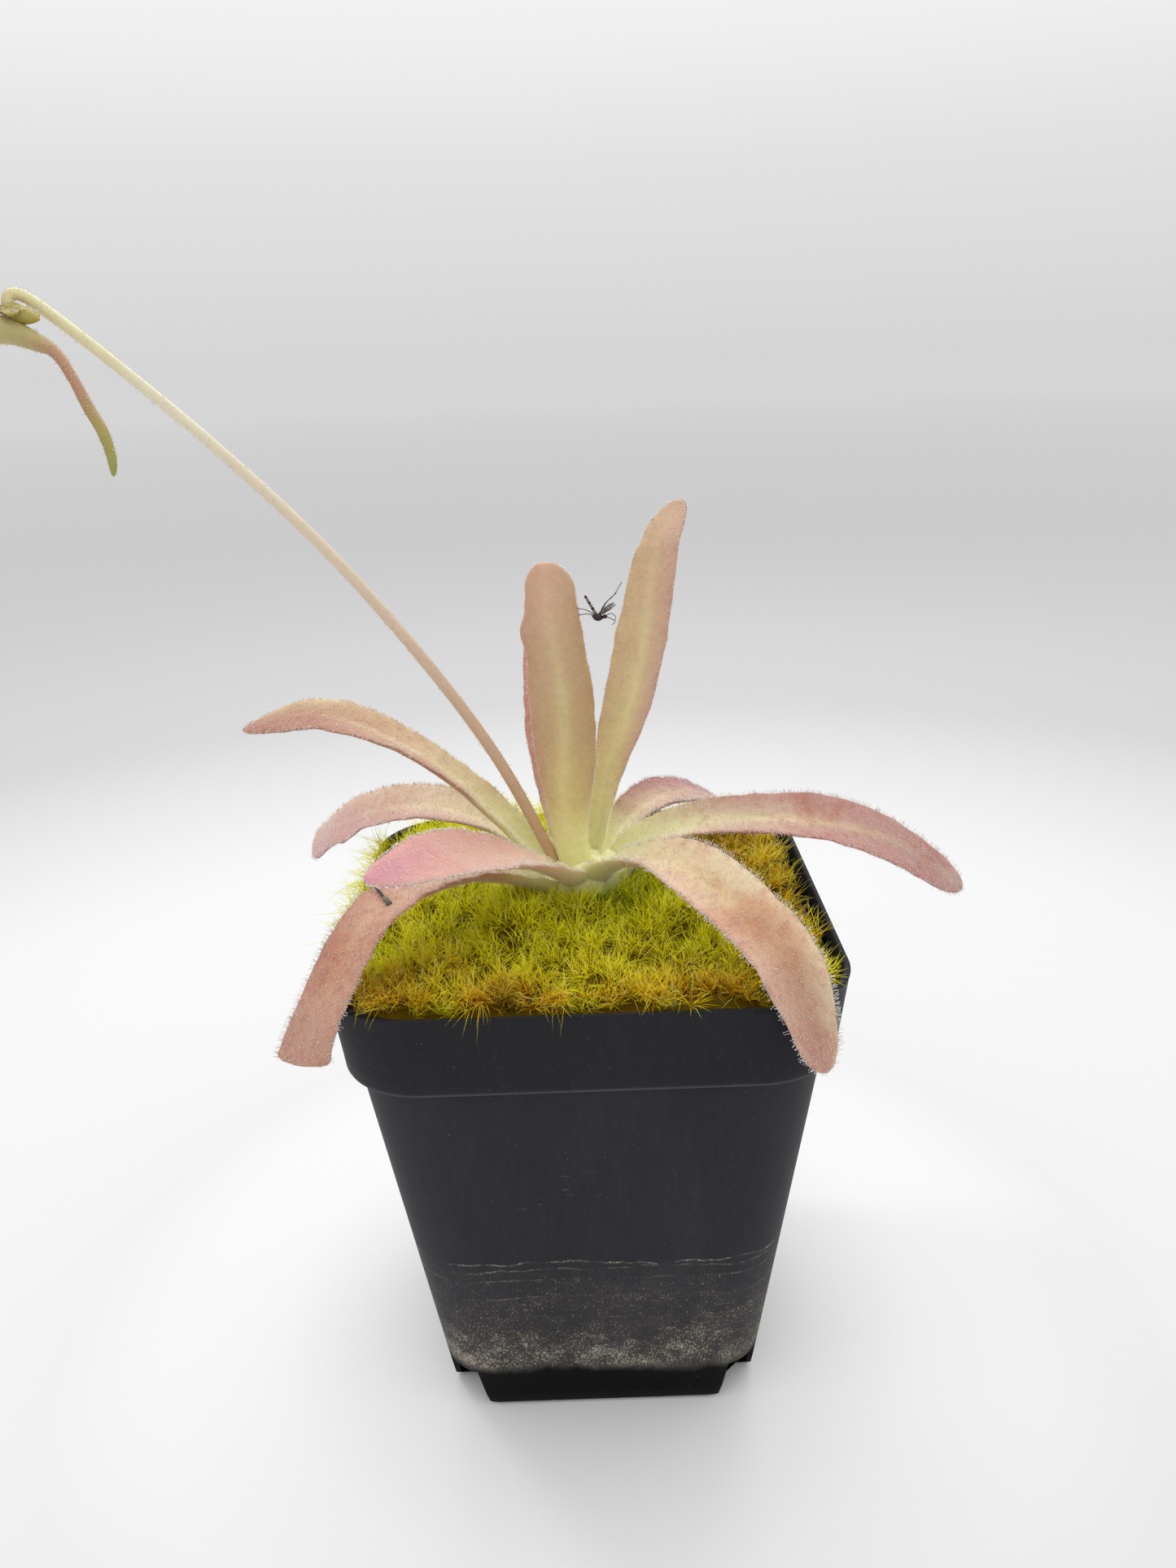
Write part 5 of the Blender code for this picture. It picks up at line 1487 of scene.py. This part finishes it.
def fine_glands(name, roots, out, lengths, heads, colour, rng):
    """Short glands on the stalk or flower, as a piece of their own."""
    lengths, heads = rng.uniform(*lengths, len(roots)), rng.uniform(*heads, len(roots))
    points, faces, share = glands(roots, out, lengths, heads, rng)
    piece = build(name, [(points, faces, {"along": share, "tone": rgb(colour)})],
                  bpy.data.materials["stalked gland"])


def make_scape():
    """The flower stalk, hooked at its top; returns its middle line."""
    rng = np.random.default_rng(SCAPE_SEED)
    shares = np.linspace(0, 1, 150)
    points, _ = spline(SCAPE_PATH + SCAPE_END, shares)
    points = smoothed(points, 7)
    radii = SCAPE_RADIUS[0] + (SCAPE_RADIUS[1] - SCAPE_RADIUS[0]) * shares
    rings = tube(points, radii, SCAPE_SIDES)
    along = np.r_[np.repeat(shares, SCAPE_SIDES), 0, 1]
    body, faces = closed(rings, (points[0], points[-1]))
    piece = build("scape_stalk", [(body, faces, {"along": along})], stalk_matter())
    outward(piece)
    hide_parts("scape")
    rows = rng.uniform(0.02, 0.985, SCAPE_GLANDS) ** 0.9 * (len(points) - 1)
    cols = rng.uniform(0, SCAPE_SIDES - 1.01, SCAPE_GLANDS)
    roots, out = on_skin(rings, points, rows, cols, rng, 0.2)
    fine_glands("scape_glands", roots, out, lengths=(0.22, 0.42), heads=(0.04, 0.065),
                colour="#EADDC4", rng=rng)
    return points


def stalk_matter():
    n = Nodes("pink beige stalk", 0.4)
    coords = n.coords()
    cloud = n.noise(coords, 220, 3, 0.6)
    place = n.shifted(n.attribute("along"), cloud, 0.12)
    colour = n.ramp(place, [(0.0, "#C4A078"), (0.3, "#D2B49A"), (0.55, "#DECEB6"), (0.8, "#EAE2C8"),
                            (1.0, "#E2DDA4")])
    n.soften(0.25, (1.0, 0.7, 0.4), 1.0)
    n.bump(n.noise(coords, 1400, 2), 0.08, 0.5)
    return n.finish(colour)


def axis_frame(direction):
    axis = unit(direction)
    side = unit(np.cross(axis, (0, 0, 1)))
    return axis, side, np.cross(side, axis)


def make_calyx():
    """Five narrow sepals round a small dome, with the ovary between them."""
    rng = np.random.default_rng(CALYX_SEED)
    centre = np.array(CALYX_CENTRE)
    shares = np.linspace(0, 1, 14)
    dome = np.array([(0, 0, 0.6 * math.cos(s * math.pi)) for s in shares]) * CALYX_RADIUS + centre
    widths = np.maximum(np.sin(shares * math.pi), 0.03) * CALYX_RADIUS
    groups = [(*rod(dome, widths, CALYX_SIDES), {"along": 0.2})]
    line = centre + np.outer(shares, OVARY_WAY) + OVARY_FROM
    widths = np.maximum(np.sin(shares ** 0.8 * math.pi), 0.04) ** 0.7 * 1.05
    groups.append((*rod(line, widths, CALYX_SIDES), {"along": 0.5}))
    roots, outs = [], []
    count = SEPAL_STATIONS
    reach = np.linspace(0.15, 1.0, count)[:, None]
    width = np.sqrt(np.clip(1 - ((reach - 0.48) / 0.53) ** 2, 0, 1)) * SEPAL_WIDTH / 2
    section = np.linspace(0, 2 * math.pi, count, endpoint=False)[None]
    for angle, rise in SEPALS:
        direction = np.array([math.cos(math.radians(angle)), math.sin(math.radians(angle)), 0.0])
        across = np.array([-direction[1], direction[0], 0.0])
        spine = centre + direction * (reach * SEPAL_LENGTH)
        spine[:, 2] += rise * reach[:, 0] ** 2
        ring = spine[:, None] + across * (np.cos(section) * (width + 0.06))[..., None]
        ring = ring + np.array([0, 0, 1.0]) * (np.sin(section) * (0.3 - 0.15 * reach))[..., None]
        ring[..., 2] += 0.3 * np.cos(section) ** 2 * width / SEPAL_WIDTH
        along = np.r_[np.repeat(reach[:, 0], count), 0, 1]
        groups.append((*closed(ring), {"along": along}))
        rows, cols = rng.uniform(0, count - 1, SEPAL_GLANDS), rng.uniform(0, count - 1.01, SEPAL_GLANDS)
        root, out = on_skin(ring, spine, rows, cols, rng, 0.3, 0.3)
        roots.append(root)
        outs.append(out)
    calyx = build("calyx_sepals", groups, calyx_matter())
    outward(calyx)
    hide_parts("calyx")
    fine_glands("calyx_glands", np.vstack(roots), np.vstack(outs), lengths=(0.25, 0.45),
                heads=(0.035, 0.055), colour="#D6CF8C", rng=rng)


def calyx_matter():
    n = Nodes("olive calyx", 0.45)
    coords = n.coords()
    cloud = n.noise(coords, 500, 4, 0.6)
    colour = n.mix(n.attribute("along"), n.ramp(cloud, [(0.3, "#A89A48"), (0.7, "#C8BC70")]), "#A8963C")
    n.soften(0.2, (0.8, 1.0, 0.3), 0.6)
    n.bump(cloud, 0.1, 0.5)
    return n.finish(colour)


def make_corolla_tube():
    """Spur and tube as one hollow horn."""
    rng = np.random.default_rng(HORN_SEED)
    path = np.array(SPUR_PATH + TUBE_PATH, float)
    shares = np.linspace(0, 1, 90)
    points, total = spline(path, shares)
    steps = np.r_[0, np.cumsum(np.linalg.norm(np.diff(path, axis=0), axis=1))]
    widths = np.interp(shares * total, steps / steps[-1] * total, SPUR_RADII + TUBE_RADII)
    widths = smoothed(widths[:, None], 9)[:, 0]
    widths[:4] *= (0.35, 0.7, 0.88, 0.96)
    rings = tube(points, widths, HORN_SIDES)
    ups = rings[-1] - points[-1]
    ups = ups / np.linalg.norm(ups, axis=1)[:, None]
    axis = unit(points[-1] - points[-3])
    radii = (widths[-1] - TUBE_WALL * 0.6, widths[-1] - TUBE_WALL - 0.1, TUBE_RADII[0] - TUBE_WALL - 0.1, 0.9)
    back = [points[-1] - axis * depth for depth in (0.15, 1.2, 2.4, THROAT_DEPTH)]
    throat = np.array([middle + ups * radius for middle, radius in zip(back, radii)])
    along = np.r_[np.repeat(np.r_[shares, np.ones(len(back))], HORN_SIDES), 0, 1]
    body, faces = closed(np.concatenate([rings, throat]), (points[0], back[-1]))
    piece = build("corolla_horn", [(body, faces, {"along": along})], horn_matter())
    outward(piece)
    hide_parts("corolla_tube")
    rows, cols = rng.uniform(1, 86, HORN_GLANDS), rng.uniform(0, HORN_SIDES - 1.1, HORN_GLANDS)
    roots, out = on_skin(rings, points, rows, cols, rng, 0.25)
    fine_glands("corolla_horn_glands", roots, out, lengths=(0.18, 0.34),
                heads=(0.035, 0.055), colour="#D6CBA0", rng=rng)


def horn_matter():
    n = Nodes("olive and pink spur", 0.45)
    coords = n.coords()
    cloud = n.noise(coords, 400, 4, 0.6)
    place = n.shifted(n.attribute("along"), cloud, 0.12)
    colour = n.ramp(place, [(0.0, "#97994A"), (0.22, "#A6974F"), (0.42, "#B58868"), (0.6, "#B98E6C"),
                            (0.78, "#B9AF70"), (1.0, "#CFC58F")])
    n.soften(0.25, (1.0, 0.8, 0.4), 0.6)
    n.bump(n.noise(coords, 1500, 2), 0.06, 0.5)
    return n.finish(colour)


def lobe_outline(angle):
    wave = np.abs(np.cos(2.5 * (angle - math.radians(270)))) ** 0.55
    reach = LOBE_REACH * (0.93 - 0.07 * np.sin(angle))
    return LOBE_NOTCH + (reach - LOBE_NOTCH) * wave


def make_corolla_limb():
    """Five joined petal lobes: a thin waved sheet with veins, flared round the throat."""
    front = np.array(TUBE_PATH[-1])
    axis, side, up = axis_frame(front - np.array(TUBE_PATH[-2]))
    flare = math.tan(math.radians(LOBE_FLARE))
    throat = TUBE_RADII[-1] - LOBE_OVERLAP
    front = front + axis * (0.3 + 0.325)
    count = LOBE_POINTS
    angle = turns(count)
    shares = np.linspace(0, 1, LOBE_STATIONS + 1)
    reach = throat + (lobe_outline(angle)[None] - throat) * shares[:, None]
    forward = flare * (reach - throat) - 0.045 * (reach - throat) ** 2
    wave = 0.35 * np.sin(angle * 15 + 1.0)[None] * shares[:, None] ** 2
    wave = wave + 0.2 * np.sin(angle * 5)[None] * shares[:, None]
    out = side * np.cos(angle)[:, None] + up * np.sin(angle)[:, None]
    sheet = front + out[None] * reach[..., None] + axis * (forward + wave)[..., None]
    normal = unit(np.cross(np.gradient(sheet, axis=0), np.roll(sheet, -1, 1) - np.roll(sheet, 1, 1)))
    normal = normal * np.sign((normal * axis).sum(-1).mean())
    thick = LOBE_THICK * (0.75 - 0.45 * shares)[:, None, None]
    rings = np.concatenate([sheet + normal * thick / 2, (sheet - normal * thick / 2)[::-1]])
    total = len(rings)
    quads = ring_quads(total + 1, count) % (total * count)
    along = np.r_[np.repeat(shares, count), np.repeat(shares[::-1], count)]
    attributes = {"along": along, "turn": np.tile(angle, total)}
    piece = build("corolla_petals", [(rings.reshape(-1, 3), [quads], attributes)], petal_matter())
    outward(piece)
    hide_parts("corolla_limb")


def petal_matter():
    n = Nodes("violet petal", 0.5)
    coords = n.coords()
    cloud = n.noise(coords, 260, 3, 0.6)
    bent = n.shifted(n.attribute("turn"), cloud, 0.10)
    veins = n.math("POWER", n.math("ABSOLUTE", n.math("SINE", n.times(bent, 17.5))), 0.5)
    colour = n.ramp(n.attribute("along"), [(0.0, "#F1EFC9"), (0.16, "#F0E4EC"), (0.38, "#D9AEDB"),
                                           (1.0, "#C492D2")])
    colour = n.mix(n.times(n.span(veins, 0.45, 0.1), 0.35), colour, "#A063B4")
    n.soften(0.3, (1.0, 0.6, 0.9), 0.8)
    n.bump(n.plus(veins, cloud), 0.12, 0.5)
    return n.finish(colour)


# Insects caught on the glands

def limb(points, width, taper):
    """A thin leg, as one group."""
    shares = np.linspace(0, 1, 14)
    line, _ = spline(points, shares)
    return (*rod(line, width * (1 - (1 - taper) * shares), 6), {"shade": 0.1})


def bead(centre, axis, length, width, shade):
    """A rounded body segment, as one group."""
    shares = np.linspace(0, 1, 10)
    line = np.array(centre) + np.outer(shares - 0.5, unit(axis)) * length
    return (*rod(line, np.maximum(np.sin(shares * math.pi), 0.08) ** 0.7 * width, 12), {"shade": shade})

def make_gnat():
    """A gnat stuck by its feet to the margin of the front upright leaf."""
    thorax = np.array(GNAT_THORAX)
    head = thorax + (1.05, -0.2, 0.1)
    tail = thorax + (-1.65, 0.0, 3.0)
    groups = [bead(thorax, (1, 0, -0.2), length=1.7, width=0.60, shade=0.2),
              bead(head, (1, 0, -0.3), length=0.8, width=0.34, shade=0.05)]
    for index in range(GNAT_RINGS):
        middle = thorax + (tail - thorax) * ((index + 1) / GNAT_RINGS)
        groups.append(bead(middle, tail - thorax, 0.64, 0.29 - 0.012 * index, 0.7 if index % 2 else 0.1))
    for foot in GNAT_FEET:
        knee = (thorax + foot) / 2 + (0, -0.2, 0.35)
        groups.append(limb([thorax, knee, foot], 0.075, 0.7))
    groups += [limb([thorax, *(thorax + line)], 0.075, 0.7) for line in np.array(GNAT_FREE_LEGS)]
    groups += [limb([head, *(head + line)], 0.065, 0.7) for line in np.array(GNAT_FEELERS)]
    body = build("gnat_body", groups, gnat_matter())
    wings = []
    shares = np.linspace(0, 1, 16)
    width = (np.sin(shares ** 0.8 * math.pi) ** 0.6 * 0.30 + 0.02)[:, None]
    for lift in (-0.06, 0.14):
        axis = unit((0.86, 0.12 + lift, 0.50 + lift * 0.6))
        side = unit(np.cross(axis, (0.1, 1.0, 0.2)))
        line = thorax + np.array((0.1, 0, 0.35)) + axis * (shares * 3.0)[:, None]
        skin = unit(np.cross(axis, side)) * 0.02
        ring = np.stack([line - side * width - skin, line + side * width - skin,
                         line + side * width + skin, line - side * width + skin], 1)
        last = 4 * (len(shares) - 1)
        ends = [(3, 2, 1, 0), (last, last + 1, last + 2, last + 3)]
        wings.append((ring.reshape(-1, 3), [ring_quads(len(shares), 4), ends], {}))
    wing = build("gnat_wings", wings, wing_matter(), smooth=False)


def make_remains():
    """What is left of an older catch, stuck to the leaf over the front left corner."""
    place = np.array(REMAINS_PLACE)
    groups = [bead(place, (-0.7, 0.9, 0.3), length=1.9, width=0.46, shade=0.6),
              bead(place + (0.4, -0.6, -0.1), (1, 0.3, 0), length=1.0, width=0.34, shade=0.5)]
    groups += [limb([place, *(place + line)], 0.14, 0.8) for line in np.array(REMAINS_LEGS)]
    body = build("dried_midge", groups, bpy.data.materials["dark gnat"])


def gnat_matter():
    n = Nodes("dark gnat", 0.4)
    cloud = n.noise(n.coords(), 1500, 3)
    colour = n.ramp(n.attribute("shade"), [(0.0, "#100C0A"), (0.3, "#2A1C17"), (0.8, "#84766A")])
    n.bump(cloud, 0.05, 0.6)
    return n.finish(colour)


def wing_matter():
    n = Nodes("gnat wing", 0.25)
    veins = n.cells(n.coords(), 1400, "DISTANCE_TO_EDGE")
    colour = n.ramp(veins, [(0.0, "#3A302C"), (0.08, "#6E6460"), (0.2, "#A8A09C")])
    n.put("Transmission Weight", 0.3)
    n.put("Alpha", 0.75)
    return n.finish(colour)


# Stage, light and camera

def make_stage():
    """A white floor with painted light on it: brightest round the pot, then painted falloff that turns it
    pale grey far behind the pot.
    """
    count = 96
    points = [(0.0, 0.0, 0.0)]
    for radius in FLOOR_RINGS:
        points += [(radius * math.cos(turn), radius * math.sin(turn), 0.0) for turn in turns(count)]
    faces = [(0, 1 + j, 1 + (j + 1) % count) for j in range(count)]
    for low in range(1, 1 + (len(FLOOR_RINGS) - 1) * count, count):
        high = low + count
        faces += [(low + j, high + j, high + (j + 1) % count, low + (j + 1) % count) for j in range(count)]
    mesh = bpy.data.meshes.new("floor")
    mesh.from_pydata(points, [], faces)
    n = Nodes("studio floor", 0.9)
    length = n.tree.nodes.new("ShaderNodeVectorMath")
    length.operation = "LENGTH"
    n.link(n.coords(), length.inputs[0])
    share = n.math("DIVIDE", length.outputs["Value"], FLOOR_REACH)
    n.put("Specular IOR Level", 0.0)
    # Painted light: the floor is lighter near the pot and greyer further away
    mesh.materials.append(n.finish(n.ramp(share, FLOOR_PAINTED_LIGHT)))
    floor = add_object("floor", mesh)


def area_light(name, place, target, size, power):
    data = bpy.data.lights.new(name, "AREA")
    data.shape = "RECTANGLE"
    data.size, data.size_y = size
    data.energy = power
    lamp = add_object(name, data)
    lamp.location = place
    lamp.rotation_euler = (Vector(target) - Vector(place)).to_track_quat("-Z", "Y").to_euler()
    lamp.visible_camera = False


def make_light():
    """Light from all round, brightest overhead, with a small lamp behind for glints."""
    world = bpy.data.worlds.new("light tent")
    world.use_nodes = True
    tree = world.node_tree
    coords = tree.nodes.new("ShaderNodeTexCoord")
    split = tree.nodes.new("ShaderNodeSeparateXYZ")
    ramp = tree.nodes.new("ShaderNodeValToRGB")
    fill_ramp(ramp, SKY_GREYS)
    tree.links.new(coords.outputs["Generated"], split.inputs[0])
    tree.links.new(split.outputs["Z"], ramp.inputs["Fac"])
    tree.links.new(ramp.outputs["Color"], tree.nodes["Background"].inputs["Color"])
    tree.nodes["Background"].inputs["Strength"].default_value = SKY_STRENGTH
    bpy.context.scene.world = world
    for row in LAMPS:
        area_light(*row)
    bpy.context.scene.view_settings.view_transform = "Standard"
    bpy.context.scene.view_settings.look = "None"


def make_camera():
    yaw, pitch, roll = CAMERA_TURN
    forward = Vector((math.sin(yaw) * math.cos(pitch), math.cos(yaw) * math.cos(pitch), -math.sin(pitch)))
    right = Vector((math.cos(yaw), -math.sin(yaw), 0))
    up = right.cross(forward)
    right, up = math.cos(roll) * right + math.sin(roll) * up, math.cos(roll) * up - math.sin(roll) * right
    data = bpy.data.cameras.new("camera")
    data.sensor_fit = "VERTICAL"
    data.sensor_height = CAMERA_SENSOR
    data.lens = CAMERA_LENS
    data.clip_start = 0.005
    camera = add_object("camera", data)
    turn = Matrix((right, up, -forward)).transposed().to_4x4()
    camera.matrix_world = Matrix.Translation(Vector(CAMERA_PLACE) * MM) @ turn
    bpy.context.scene.camera = camera


make_camera()
make_light()
make_stage()
leaf_points = make_leaves()
scape_points = make_scape()
make_calyx()
make_corolla_tube()
make_corolla_limb()
collar_points = make_crown()
make_pot()
make_soil()
make_moss(np.vstack([leaf_points, scape_points, collar_points[::5]]))
make_gnat()
make_remains()
